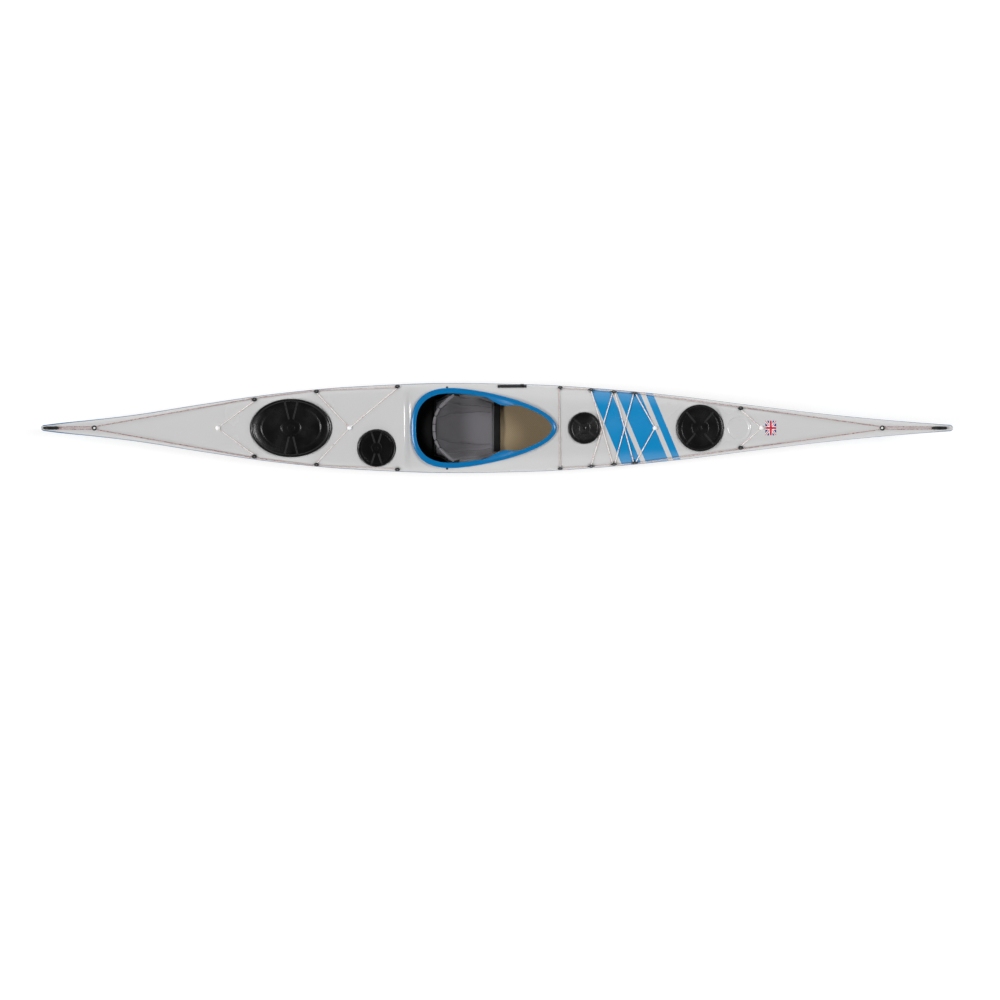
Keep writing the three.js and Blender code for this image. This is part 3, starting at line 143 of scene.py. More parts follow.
def smooth_curve(pairs):
    """A smooth curve through pairs that never overshoots them"""
    steps = list(zip(pairs, pairs[1:]))
    slopes = [(b[1] - a[1]) / (b[0] - a[0]) for a, b in steps]
    tangents = [slopes[0]]
    for (a, b), (_, c), before, after in zip(steps, steps[1:], slopes, slopes[1:]):
        back, ahead = b[0] - a[0], c[0] - b[0]
        tangents.append(0.0 if before * after <= 0 else
                        3 * (ahead + back) / ((2 * ahead + back) / before + (ahead + 2 * back) / after))
    tangents.append(slopes[-1])

    def value(along):
        i = 0
        while i < len(steps) - 1 and along > pairs[i + 1][0]:
            i += 1
        (x0, y0), (x1, y1) = steps[i]
        span = x1 - x0
        t = min(1, max(0, (along - x0) / span))
        rise = t * t * (3 - 2 * t)
        bend = span * t * (1 - t) * (tangents[i] * (1 - t) - tangents[i + 1] * t)
        return y0 * (1 - rise) + y1 * rise + bend

    return value


beam_curve = smooth_curve([
    (-0.5, 0.055), (-0.48, 0.106), (-0.44, 0.187), (-0.4, 0.283), (-0.32, 0.538), (-0.24, 0.768),
    (-0.16, 0.917), (-0.05, 1), (0.04, 0.968), (0.12, 0.866), (0.2, 0.708), (0.28, 0.503),
    (0.36, 0.309), (0.44, 0.153), (0.49, 0.076), (0.5, 0.062),
])
seam_curve = smooth_curve([
    (-0.5, 1.53), (-0.45, 1.36), (-0.4, 1.215), (-0.3, 1.045), (-0.2, 0.993), (0, 1.006),
    (0.08, 1.045), (0.16, 1.116), (0.22, 1.226), (0.28, 1.426), (0.34, 1.748), (0.4, 2.123),
    (0.45, 2.49), (0.5, 2.91),
])
rocker_curve = smooth_curve([
    (-0.5, 0.15), (-0.4, 0.084), (-0.33, 0.032), (-0.275, 0), (0.055, 0), (0.11, 0.058),
    (0.165, 0.142), (0.22, 0.232), (0.275, 0.335), (0.33, 0.497), (0.385, 0.684), (0.5, 1.05),
])
hull_power_curve = smooth_curve([
    (-0.5, 1.6), (-0.35, 1.8), (-0.2, 2.2), (0, 2.5), (0.2, 2.2), (0.35, 1.75), (0.5, 1.6),
])


def half_beam(x):
    past = max(0, abs(x) - half_length + nose_length) / nose_length
    return hull_half_beam * beam_curve(x / hull_length) * max(0.35, sqrt(max(0, 1 - past * past)))


def seam_line(x):
    return seam_height * seam_curve(x / hull_length)


def keel_line(x):
    if level_keel[0] * hull_length <= x <= level_keel[1] * hull_length:
        return 0
    rocker = seam_height * rocker_curve(x / hull_length)
    foot_x, foot_height, slope = stem_foot if x > 0 else stern_foot
    foot = foot_height + (abs(x) - abs(foot_x)) * slope
    apart = hypot(rocker - foot, foot_rounding)
    return max(rocker, (rocker + foot + apart) / 2 - foot_rounding ** 2 / (4 * apart))


def edge_angle(height, power):
    return asin(min(band_height / 2 / height, 0.7) ** (power / 2))


def hull_side(x, inset=0.0, steps=14):
    """One side of the section, from the seam down to the middle of the keel"""
    half = half_beam(x) - inset
    top = seam_line(x)
    depth = top - keel_line(x) - inset
    power = hull_power_curve(x / hull_length)
    flat = min(keel_flat_width / 2, half * 0.3)
    start = edge_angle(depth, power)
    end = acos((flat / half) ** (power / 2))
    side = [(half, top)]
    for i in range(steps + 1):
        angle = start + (end - start) * i / steps
        drop = (sin(angle) / sin(end)) ** (2 / power)
        out = half * cos(angle) ** (2 / power) * (1 - flare_share * drop)
        reach = (out - flat * (1 - flare_share)) / half
        side.append((out, top - depth * drop + deadrise * half / hull_half_beam * reach * drop ** 3))
    return [*side, (0, top - depth)]


def mirrored(side):
    return [*side, *[(-y, z) for y, z in reversed(side[:-1])]]


def piece(name, points, faces, skin=0):
    """A mesh object from points in mm; skin is the material slot of its faces"""
    mesh = bpy.data.meshes.new(name)
    mesh.from_pydata([Vector(p) / 1000 for p in points], [], faces)
    mesh.polygons.foreach_set("material_index", [skin] * len(mesh.polygons))
    return put(name, mesh)


def reshaped(obj, change):
    """Lets a function change the edges and faces of an object"""
    shape = bmesh.new()
    shape.from_mesh(obj.data)
    change(shape)
    shape.to_mesh(obj.data)
    shape.free()
    return obj


def face_out(shape):
    bmesh.ops.remove_doubles(shape, verts=shape.verts, dist=1e-6)
    bmesh.ops.recalc_face_normals(shape, faces=shape.faces)


def loft(name, rings, closes=False, skin=0):
    """A closed skin through rings of points; its ends are filled unless it closes on itself"""
    size = len(rings[0])
    faces = []
    for r in range(len(rings) if closes else len(rings) - 1):
        near, far = r * size, (r + 1) % len(rings) * size
        faces += [(near + i, far + i, far + (i + 1) % size, near + (i + 1) % size) for i in range(size)]
    if not closes:
        last = (len(rings) - 1) * size
        faces += [tuple(range(size)), tuple(range(last, last + size))]
    return reshaped(piece(name, [p for ring in rings for p in ring], faces, skin), face_out)


def carve(obj, *tools, operation="DIFFERENCE"):
    """Cuts each tool out of the object, or joins it on; the tool is used up"""
    for tool in tools:
        change = obj.modifiers.new("carve", "BOOLEAN")
        change.operation, change.solver, change.object = operation, "MANIFOLD", tool
        bpy.context.view_layer.update()
        whole = obj.evaluated_get(bpy.context.evaluated_depsgraph_get())
        mesh = bpy.data.meshes.new_from_object(whole)
        obj.modifiers.clear()
        obj.data = mesh
        bpy.data.objects.remove(tool)
    return obj


def dress(obj, finish, angle, slot, *stands_for, body="kayak"):
    """Gives a piece its finish and shading, its body and the nodes it stands for; the slot is not used. An
    edge stays sharp where the surface turns by more than the angle"""
    def soften(shape):
        for face in shape.faces:
            face.smooth = True
        for edge in shape.edges:
            edge.smooth = edge.calc_face_angle(0) < radians(angle)

    if finish:
        obj.data.materials.clear()
        obj.data.materials.append(finish)
    reshaped(obj, soften)
    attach(obj, body)
    if stands_for:
        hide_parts(*stands_for)


def spaced(start, end, step):
    count = max(1, round((end - start) / step))
    return [start + (end - start) * i / count for i in range(count + 1)]


nose_steps = [0, 1, 3, 6, 10, 14, 22, 34]
stations = sorted({round(x, 2) for x in [
    *spaced(-half_length + 34, half_length - 34, 24), *spaced(-610, -480, 6),
    *spaced(stem_foot[0] - 40, stem_foot[0] + 40, 8), *spaced(stern_foot[0] - 40, stern_foot[0] + 40, 8),
    *[half_length - step for step in nose_steps], *[step - half_length for step in nose_steps],
]})
hollow_end = 0.45 * hull_length
hollow_stations = [-hollow_end, *[x for x in stations if abs(x) < hollow_end - 5], hollow_end]


def section(side, x, inset=0.0, shift=0.0):
    outline = side(x, inset)
    outline[0] = (outline[0][0], outline[0][1] + shift)
    return [(x, y, z) for y, z in mirrored(outline)]


def slab(name, size, middle):
    """A block by its size and middle"""
    return loft(name, [[
        (middle[0] + i * size[0] / 2, middle[1] + j * size[1] / 2, middle[2] + k * size[2] / 2)
        for i, j in ((-1, -1), (1, -1), (1, 1), (-1, 1))] for k in (-1, 1)])


def surface(name, tones, gloss, patch, grain, depth, **shader):
    """A finish in two close tones that drift over patches, glossier in some than in others,
    with a fine grain; patch, grain and the grain's depth are in mm"""
    finish = bpy.data.materials.new(name)
    tree = new_tree(finish)
    place = add(tree, "TexCoord").outputs["Object"]
    drift = add(tree, "TexNoise", {"Vector": place, "Scale": 1000 / patch, "Detail": 4.0})
    tone = add(tree, "Mix", {0: drift, 6: linear(tones[0]), 7: linear(tones[1])}, data_type="RGBA")
    wear = add(tree, "MapRange", {"Value": drift, "From Min": 0.35, "From Max": 0.7,
                                  "To Min": gloss[0], "To Max": gloss[1]})
    rough = add(tree, "TexNoise", {"Vector": place, "Scale": 1000 / grain, "Detail": 2.0})
    bump = add(tree, "Bump", {"Height": rough, "Distance": depth / 1000})
    body = add(tree, "BsdfPrincipled", {
        "Base Color": tone.outputs[2], "Roughness": wear, "Normal": bump,
        **{key.replace("_", " "): value for key, value in shader.items()},
    })
    add(tree, "OutputMaterial", {"Surface": body})
    return finish


def tint(finish, share, colour):
    """Lays a colour over a finish, as far as the share says"""
    tree = finish.node_tree
    base = tree.nodes["Principled BSDF"].inputs["Base Color"]
    both = add(tree, "Mix", {0: share, 6: base.links[0].from_socket, 7: colour}, data_type="RGBA")
    tree.links.new(both.outputs[2], base)


def emboss(finish, pattern, depth):
    """Presses a pattern into a finish, to a depth in mm"""
    tree = finish.node_tree
    normal = tree.nodes["Principled BSDF"].inputs["Normal"]
    bump = add(tree, "Bump", {"Height": pattern, "Distance": depth / 1000,
                              "Normal": normal.links[0].from_socket}, invert=True)
    tree.links.new(bump.outputs[0], normal)


def whereabouts(finish):
    """The x, y and z of a point on the boat, in metres"""
    tree = finish.node_tree
    return add(tree, "SeparateXYZ", {0: add(tree, "TexCoord").outputs["Object"]}).outputs


def woven(finish, tow, tones, depth, across="UV"):
    """Lays a two-over-two twill over a finish; tow is the width of one yarn in mm"""
    tree = finish.node_tree
    yarns = add(tree, "VectorMath", {0: add(tree, "TexCoord").outputs[across], 3: 1000 / tow},
                operation="SCALE")
    split = add(tree, "SeparateXYZ", {0: yarns}).outputs
    cells = [add(tree, "Math", {0: split[i]}, operation="FLOOR") for i in (0, 1)]
    turn = add(tree, "Math", {0: add(tree, "Math", {0: cells[0], 1: cells[1]}), 1: 4.0},
               operation="FLOORED_MODULO")
    over = add(tree, "Math", {0: turn, 1: 1.5}, operation="LESS_THAN")
    rounds = []
    for i in (1, 0):
        part = add(tree, "Math", {0: split[i], 1: 1.0}, operation="PINGPONG")
        arch = add(tree, "Math", {0: part, 1: 0.5}, operation="SUBTRACT")
        rounds.append(add(tree, "Math", {0: arch, 1: arch}, operation="MULTIPLY"))
    emboss(finish, add(tree, "Mix", {0: over, 2: rounds[1], 3: rounds[0]}), depth)
    weave = add(tree, "Mix", {0: over, 6: linear(tones[0]), 7: linear(tones[1])}, data_type="RGBA")
    tint(finish, 0.75, weave.outputs[2])
    return finish


def flat_map(obj, girth):
    """UVs in metres: along the boat, and round its section"""
    layer = obj.data.uv_layers.get("UVMap") or obj.data.uv_layers.new(name="UVMap")
    points = [v.co * 1000 for v in obj.data.vertices]
    for loop in obj.data.loops:
        p = points[loop.vertex_index]
        layer.data[loop.index].uv = (p.x / 1000, girth(p) / 1000)


# Clear-coated twill of dark brown fibre: warm, with a diagonal that shows from a few metres.
# The real yarns are about 2 mm wide; they are drawn 4.5 mm wide so that the twill shows.
clear_coated_twill = woven(surface(
    "clear_coated_woven_laminate", ("#3E382B", "#353025"), (0.34, 0.46), 300, 6, 0.02,
    IOR=1.5, Specular_IOR_Level=0.2, Coat_Weight=0.08, Coat_Roughness=0.15,
), 4.5, ("#2A251A", "#51493A"), 0.04)
# The inside is the same laminate without the coat: tan, dry and a little rough from the peel ply.
bare_cloth_laminate = woven(surface(
    "bare_glass_cloth_laminate", ("#A38F70", "#937F60"), (0.42, 0.62), 160, 2.5, 0.1,
    IOR=1.5, Specular_IOR_Level=0.2,
), 3, ("#958369", "#AE9C7E"), 0.12)
# Aft of the seat the inside is painted near-black: painted shade, so the gap behind the seat looks dark.
painted_shade_aft_of_seat = {"fore_end": -0.31, "shade_blend": 0.02, "colour": "#030303"}
tint(bare_cloth_laminate, add(bare_cloth_laminate.node_tree, "MapRange", {
    "Value": whereabouts(bare_cloth_laminate)[0],
    "From Min": painted_shade_aft_of_seat["fore_end"] - painted_shade_aft_of_seat["shade_blend"],
    "From Max": painted_shade_aft_of_seat["fore_end"] + painted_shade_aft_of_seat["shade_blend"], "To Min": 1.0, "To Max": 0.0,
}), linear(painted_shade_aft_of_seat["colour"]))

skeg_slot = {"aft": 617.7 - half_length, "length": 295, "width": 18, "top": 150}
hull = loft("hull_moulding", [section(hull_side, x) for x in stations])
hull_hollow = loft("hollow", [section(hull_side, x, laminate, laminate) for x in hollow_stations], skin=1)
for obj in (hull, hull_hollow):
    obj.data.materials.append(clear_coated_twill)
    obj.data.materials.append(bare_cloth_laminate)
carve(hull, hull_hollow, slab(
    "slot", (skeg_slot["length"] + 2 * fit, skeg_slot["width"] + 2 * fit, skeg_slot["top"] + 40),
    (skeg_slot["aft"] + skeg_slot["length"] / 2, 0, skeg_slot["top"] / 2)))
flat_map(hull, lambda p: (seam_line(p.x) - p.z + half_beam(p.x) - abs(p.y)) * (1 if p.y > 0 else -1))
dress(hull, None, 30, "hull_laminate", "hull_shell")

# Bulkheads
# Flat panels of the same cloth laminate, glassed in across the hull behind the seat, between the
# day and stern compartments, and ahead of the footrests.
glassed_in = surface("hand_laid_glass_panel", ("#75674F", "#6A5D48"), (0.4, 0.6), 120, 2, 0.15, IOR=1.5)
# The rear and day bulkheads are painted near-black: painted shade, so the space aft of the seat looks dark.
shade_black_panel = surface("glass_panel_painted_black_as_shade", ("#040404", "#070707"), (0.4, 0.6), 120, 2, 0.15,
                      IOR=1.5, Specular_IOR_Level=0.2)
for name, finish in (("front", glassed_in), ("rear", shade_black_panel), ("day", shade_black_panel)):
    nodes[name + "_bulkhead"].data.materials[0] = finish

# Deck moulding
# Light grey gelcoat over laminate, with a crown ahead of the cockpit, flats for the four hatches
# and a round dish for a compass. Slanting bands of blue cross the foredeck.
deck_curve = smooth_curve([
    (-0.5, 1.626), (-0.43, 1.555), (-0.36, 1.516), (-0.24, 1.516), (-0.16, 1.555),
    (-0.115, 1.6), (-0.103, 1.6), (-0.094, 1.48), (-0.065, 1.6), (-0.022, 1.82), (0, 1.94),
    (0.02, 2.04), (0.045, 2.16), (0.06, 2.19), (0.075, 2.19), (0.09, 2.17), (0.115, 2.11),
    (0.14, 2.045), (0.17, 2.01), (0.195, 1.985), (0.225, 1.99), (0.26, 2.06), (0.29, 2.18),
    (0.34, 2.32), (0.4, 2.56), (0.45, 2.81), (0.5, 3.045),
])
deck_power_curve = smooth_curve([
    (-0.5, 2.3), (-0.1, 2.5), (0.07, 2.1), (0.16, 2.15), (0.23, 2.75), (0.28, 2.65), (0.5, 2.3),
])


def deck_line(x):
    return seam_height * deck_curve(x / hull_length)


def deck_side(x, inset=0.0, steps=18):
    """One side of the section, from the seam up to the middle of the deck"""
    half = half_beam(x) - inset
    bottom = seam_line(x)
    height = deck_line(x) - bottom - inset
    power = deck_power_curve(x / hull_length)
    start = edge_angle(height, power)
    side = [(half, bottom)]
    for i in range(steps):
        angle = start + (pi / 2 - start) * i / steps
        side.append((half * cos(angle) ** (2 / power), bottom + height * sin(angle) ** (2 / power)))
    return [*side, (0, bottom + height)]


def deck_height(x, y):
    bottom = seam_line(x)
    power = deck_power_curve(x / hull_length)
    out = min(1, abs(y) / half_beam(x))
    return bottom + (deck_line(x) - bottom) * (1 - out ** power) ** (1 / power)


def deck_normal(x, y):
    rise = deck_height(x + 1, y) - deck_height(x - 1, y)
    turn = deck_height(x, y + 1) - deck_height(x, y - 1)
    return Vector((-rise, -turn, 2)).normalized()


def deck_frame(x, y):
    """A frame on the deck: x along the boat, y to port and z square to the deck"""
    normal = deck_normal(x, y)
    along = (Vector((1, 0, 0)) - normal * normal.x).normalized()
    turn = Matrix((along, normal.cross(along), normal)).transposed().to_4x4()
    return Matrix.Translation((x, y, deck_height(x, y))) @ turn


def moved(points, place):
    return [place @ Vector(p) for p in points]


def turned(name, profile, place, sides=64, stretch=1.0, skin=0):
    """A round piece from a profile of (radius, height) that starts and ends on its axis, or closes"""
    open_ends = profile[0][0] == 0
    rows = profile[1:-1] if open_ends else profile
    turns = [2 * pi * i / sides for i in range(sides)]
    points = [(r * cos(a) * stretch, r * sin(a), z) for r, z in rows for a in turns]
    faces = []
    for row in range(len(rows) - 1 if open_ends else len(rows)):
        near, far = row * sides, (row + 1) % len(rows) * sides
        faces += [(near + i, near + (i + 1) % sides, far + (i + 1) % sides, far + i) for i in range(sides)]
    if open_ends:
        for row, end in ((0, profile[0]), (len(rows) - 1, profile[-1])):
            points.append((0, 0, end[1]))
            tip = len(points) - 1
            faces += [(tip, row * sides + i, row * sides + (i + 1) % sides) for i in range(sides)]
    return reshaped(piece(name, moved(points, place), faces, skin), face_out)


hatches = {name: dict(zip(("x", "y", "length", "width", "roll", "pitch", "sink"), sizes)) for name, sizes in {
    "stern": (-1233, 0, 486, 351, 0, 0, 4), "day": (-721, -119, 228, 228, 8, 0, 10),
    "pod": (523, 0, 192, 192, 0, 3.9, 4), "bow": (1215, 0, 282, 282, 0, 0, 4),
}.items()}
flat_margin = 3
recess_lap = 1
flat_draft = 5
flat_depth = 45
rim_neck = 6
cover_skirt = 3.7
spigot_wall = 3


def hatch_frame(hatch):
    tilt = Euler((radians(hatch["roll"]), radians(hatch["pitch"]), 0)).to_matrix().to_4x4()
    x, y = hatch["x"], hatch["y"]
    return Matrix.Translation((x, y, deck_height(x, y) - hatch["sink"])) @ tilt


def hatch_turned(name, hatch, profile, skin=0):
    return turned(name, profile, hatch_frame(hatch), 72, hatch["length"] / hatch["width"], skin)


def mouth_radius(hatch):
    return hatch["width"] / 2 - cover_skirt - fit - rim_neck


compass = {"x": 1443, "radius": 80, "depth": 10, "draft": 22}


def shaped_deck(blank, inset, skin):
    """Adds the hatch flats to a blank and lets the hatches and the compass dish into it"""
    for hatch in hatches.values():
        flat = hatch["width"] / 2 + flat_margin - inset
        carve(blank, hatch_turned("flat", hatch, [
            (0, -flat_depth), (flat + flat_draft, -flat_depth), (flat + 1, -1.5), (flat, 0), (0, 0),
        ], skin), operation="UNION")
    for hatch in hatches.values():
        recess = hatch["width"] / 2 + flat_margin - recess_lap + inset
        carve(blank, hatch_turned("recess", hatch, [
            (0, -inset), (recess, -inset), (recess + flat_draft, flat_depth), (0, flat_depth),
        ], skin))
    radius, depth = compass["radius"] + inset, compass["depth"] + inset
    slope = [(radius - compass["draft"] * (1 - t), -depth * (1 - sin(t * pi / 2) ** 2))
             for t in (0, 0.15, 0.3, 0.45, 0.6, 0.75, 0.9)]
    place = Matrix.Translation((compass["x"], 0, deck_height(compass["x"], 0)))
    carve(blank, turned("dish", [
        (0, -depth), *slope, (radius, 0), (radius, 40), (0, 40),
    ], place, 56, skin=skin))


cockpit = {"rear": -514, "front": 358, "half": 240, "widest": -263}
rim_widths = {"side": 32, "end": 29}
lip_overhang = 18
brace = {"x": 30, "reach": 112, "width": 27, "droop": 0.25}


def egg(along, inset, side_inset):
    """A point on the port half of the cockpit's outline, moved in from its ends and its sides"""
    rear, front, widest = cockpit["rear"] + inset, cockpit["front"] - inset, cockpit["widest"]
    x = rear + (front - rear) * along
    if x < widest:
        out = (1 - min(1, max(0, (widest - x) / (widest - rear))) ** 2.6) ** (1 / 2.6)
    else:
        out = (1 - min(1, max(0, (x - widest) / (front - widest))) ** 1.4) ** 0.515
    return Vector((x, (cockpit["half"] - side_inset) * out))


def rim_stations(steps=84):
    """Inner edge, width and outward direction all round the rim"""
    port = []
    for step in range(steps + 1):
        along = (1 - cos(pi * step / steps)) / 2
        outer, inner = egg(along, 0, 0), egg(along, rim_widths["end"], rim_widths["side"])
        away = min(1, abs(inner.x - brace["x"]) / brace["reach"])
        inner.y -= brace["width"] * cos(away * pi / 2) ** 2
        port.append((inner, outer))
    flip = Vector((1, -1))
    whole = port + [(inner * flip, outer * flip) for inner, outer in reversed(port[1:-1])]
    return [(inner, (outer - inner).length, (outer - inner).normalized()) for inner, outer in whole]


# Polyester gelcoat straight from a polished mould: light grey, glossy, with a faint orange peel.
grey_gelcoat = surface("light_grey_polyester_gelcoat", ("#CFCFCF", "#C9C9C9"), (0.16, 0.3), 420, 9, 0.02,
                       IOR=1.52, Coat_Weight=0.3, Coat_Roughness=0.06)
# The bands are a blue a little lighter than the cockpit rim, sprayed in the mould behind the grey.
# Their edges are in metres along the middle of the deck.
band_blue = "#0E87C2"
band_edges = [(0.655, 0.775), (0.805, 0.945), (0.975, 1.02)]
band_slant = 0.42
tree = grey_gelcoat.node_tree
x_at, y_at, _ = whereabouts(grey_gelcoat)
lean = add(tree, "Math", {0: y_at, 1: band_slant}, operation="MULTIPLY")
along = add(tree, "Math", {0: x_at, 1: lean})
for near, far in band_edges:
    tint(grey_gelcoat, add(tree, "Math", {0: along, 1: (near + far) / 2, 2: (far - near) / 2},
                           operation="COMPARE"), linear(band_blue))

deck = loft("deck_moulding", [[(x, y, z + fit) for x, y, z in section(deck_side, at)] for at in stations])
deck_hollow = loft("hollow", [section(deck_side, x, laminate, -laminate) for x in hollow_stations], skin=1)
# A bare copy is kept for fitting other pieces to the deck, and is removed at the end.
deck_blank = deck.copy()
deck_blank.data = deck.data.copy()
for obj in (deck, deck_hollow):
    obj.data.materials.append(grey_gelcoat)
    obj.data.materials.append(bare_cloth_laminate)
shaped_deck(deck, 0, 0)
shaped_deck(deck_hollow, laminate, 1)
hole = [inner + out * (width - lip_overhang + 2 * fit) for inner, width, out in rim_stations()]
carve(deck, deck_hollow,
      loft("hole", [[(p.x, p.y, z) for p in hole] for z in (seam_height + 20, 420)], skin=1))
for hatch in hatches.values():
    bore = mouth_radius(hatch) + spigot_wall + fit
    carve(deck, hatch_turned("bore", hatch, [
        (0, -flat_depth), (bore, -flat_depth), (bore, flat_depth), (0, flat_depth),
    ]))
flat_map(deck, lambda p: p.y)
dress(deck, None, 24, "deck_gelcoat", "deck_shell")

# Seam tape
# Blue glass tape wetted out over the joint of hull and deck, all the way round the boat.
# It is 28 mm high and about 1 mm thick, and thins out at both edges.
# It dries to a flat, dark blue with little shine.
blue_tape = surface("blue_pigmented_glass_tape", ("#04659B", "#025E91"), (0.4, 0.55), 90, 3, 0.06,
                    IOR=1.5, Specular_IOR_Level=0.12)
# How thick it is from its edge on the deck, at 1, over the joint to its edge on the hull, at -1.
tape_thickness = {1: 0.3, 0.5: 1, 0: 1, -0.5: 1, -1: 0.6}


def pushed_out(points, distance):
    """A flat closed outline moved outwards"""
    result = []
    for i, point in enumerate(points):
        first = (point - points[i - 1]).normalized()
        second = (points[(i + 1) % len(points)] - point).normalized()
        bisector = Vector((first.y + second.y, -first.x - second.x)).normalized()
        result.append(point + bisector * distance / bisector.dot(Vector((first.y, -first.x))))
    return result


inner, outer = [], []
for row, thickness in tape_thickness.items():
    places = []
    for x in stations:
        near, far = (hull_side(x) if row < 0 else deck_side(x))[:2]
        y, z = [near[k] * (1 - abs(row)) + far[k] * abs(row) for k in (0, 1)]
        places.append((x, y, z + fit * (row + 1) / 2))
    around = [(x, -y, z) for x, y, z in places] + places[::-1]
    flat = [Vector((x, y)) for x, y, z in around]
    for side, distance in ((inner, fit), (outer, fit + thickness)):
        side.append([(*p, place[2]) for p, place in zip(pushed_out(flat, distance), around)])
tape = loft("seam_tape", list(zip(*inner, *outer[::-1])), closes=True)
dress(tape, blue_tape, 40, "blue_gelcoat", "seam_band")

# Keel strips
# Sacrificial strips of pigmented glass cloth along the stem and the stern edge of the keel,
# brushed out with blue gelcoat, so they are a little lighter and less even than the tape.
brushed_strip = surface("brushed_blue_gelcoat_strip", ("#1487AE", "#107DA6"), (0.28, 0.5), 40, 4, 0.12,
                        IOR=1.5, Specular_IOR_Level=0.2)
strip_gap = 0.5
strip_thickness = 1.5
for name, start, end in (("bow_keel_strip", 0.35, 0.492), ("stern_keel_strip", -0.492, -0.385)):
    rings = []
    for x in spaced(max(start * hull_length, stations[0]), end * hull_length, 18):
        edge = [Vector(p) for p in mirrored(hull_side(x, steps=5)[-3:])[::-1]]
        around = [edge[0], *edge, edge[-1]]
        ways = [(ahead - back).normalized() for back, ahead in zip(around, around[2:])]
        under, over = [[(x, p.x + way.y * out, p.y - way.x * out) for p, way in zip(edge, ways)]
                       for out in (strip_gap, strip_gap + strip_thickness)]
        rings.append([*under, *over[::-1]])
    dress(loft(name + "_tape", rings), brushed_strip, 40, "blue_gelcoat", name)

# Cockpit rim
# One blue laminate moulding: a lip that the spraydeck snaps over, a riser bonded through the
# deck, and two lobes that the paddler's thighs brace against.
# A bright blue with a soft gloss.
blue_gelcoat = surface("bright_blue_polyester_gelcoat", ("#0672AE", "#056AA3"), (0.2, 0.32), 150, 8, 0.02,
                       IOR=1.52, Specular_IOR_Level=0.2, Coat_Weight=0.25, Coat_Roughness=0.05)
rim_thickness = 5
riser_thickness = 4
riser_depth = 12
rim_curve = smooth_curve([
    (0, 1.613), (0.185, 1.639), (0.454, 1.755), (0.589, 1.916), (0.7225, 2.123), (0.857, 2.27), (1, 2.316),
])
rim_rings = []
for inner, width, out in rim_stations():
    riser = width - lip_overhang
    foot_at = inner + out * riser
    top = seam_height * rim_curve((foot_at.x - cockpit["rear"]) / (cockpit["front"] - cockpit["rear"]))
    foot = deck_height(foot_at.x, foot_at.y) - riser_depth - top
    droop = max(0, width - rim_widths["side"]) * brace["droop"]
    crown = [(2.5 + (riser - 2.5) * t, -droop * (1 - t) ** 2) for t in (0.0, 0.25, 0.5, 0.75, 1.0)]
    rim_rings.append([(*(inner + out * distance), top + z) for distance, z in (
        (1.2, -droop - rim_thickness), (0, -droop - 3.6), (0, -droop - 2.2), (0.8, -droop - 0.8), *crown,
        (width - 14, -0.8), (width - 9, -2.4), (width - 5, -4.1), (width - 2, -5.6), (width, -7), (width, -8),
        (width - 1.5, -8.6), (width - 6, -7.2), (riser + 4, -rim_thickness), (riser, -rim_thickness - 3),
        (riser, foot), (riser - riser_thickness, foot), (riser - riser_thickness, -rim_thickness - 3),
        (riser - riser_thickness - 4, -rim_thickness - droop * 0.2),
    )])
dress(loft("cockpit_rim", rim_rings, closes=True), blue_gelcoat, 50, "blue_gelcoat", "cockpit_coaming")

# Hatch rims
# Injection-moulded rings of black glass-filled nylon, bedded on the deck flats with sealant.
# A spigot passes through the deck, and the neck takes the groove of the cover.
rim_flange = 3
rim_height = 13
spigot_depth = 10
# Satin black with a fine moulded grain.
filled_nylon = surface(
    "black_glass_filled_nylon", ("#0F0F10", "#161617"), (0.38, 0.58), 60, 0.8, 0.03, IOR=1.53)
for name, hatch in hatches.items():
    mouth, outer = mouth_radius(hatch), hatch["width"] / 2
    dress(hatch_turned(f"{name}_hatch_ring", hatch, [
        (mouth, -spigot_depth), (mouth + spigot_wall, -spigot_depth), (mouth + spigot_wall, fit),
        (outer, fit), (outer, rim_flange - 0.6), (outer - 0.6, rim_flange), (mouth + rim_neck, rim_flange),
        (mouth + rim_neck, rim_height - 1), (mouth + rim_neck - 1, rim_height), (mouth + 1, rim_height),
        (mouth, rim_height - 1),
    ]), filled_nylon, 40, "black_plastic", f"{name}_hatch_rim")

# Pod
# A laminate cup that hangs in the rim of the small hatch ahead of the cockpit, for small things
# kept at hand. Its corner is rounded, and it is smooth inside.
pod = {"depth": 150, "wall": 2.5, "corner": 25, "top": 2}
pod_radius = mouth_radius(hatches["pod"]) - fit
corner_turns = (0, 0.3, 0.6, 0.9, 1.2, pi / 2)
cup_out, cup_in = [[
    (pod_radius - pod["corner"] * (1 - sin(t)) - wall * sin(t),
     pod["corner"] * (1 - cos(t)) - pod["depth"] + wall * cos(t)) for t in corner_turns
] for wall in (0, pod["wall"])]
dress(hatch_turned("deck_pod_cup", hatches["pod"], [
    (0, -pod["depth"]), *cup_out, (pod_radius, -pod["top"]), (pod_radius - pod["wall"], -pod["top"]),
    *cup_in[::-1], (0, pod["wall"] - pod["depth"]),
]), surface("gelcoated_laminate_cup", ("#6F6350", "#675B48"), (0.35, 0.55), 50, 2, 0.06, IOR=1.5),
    40, "bare_laminate", "deck_pod")

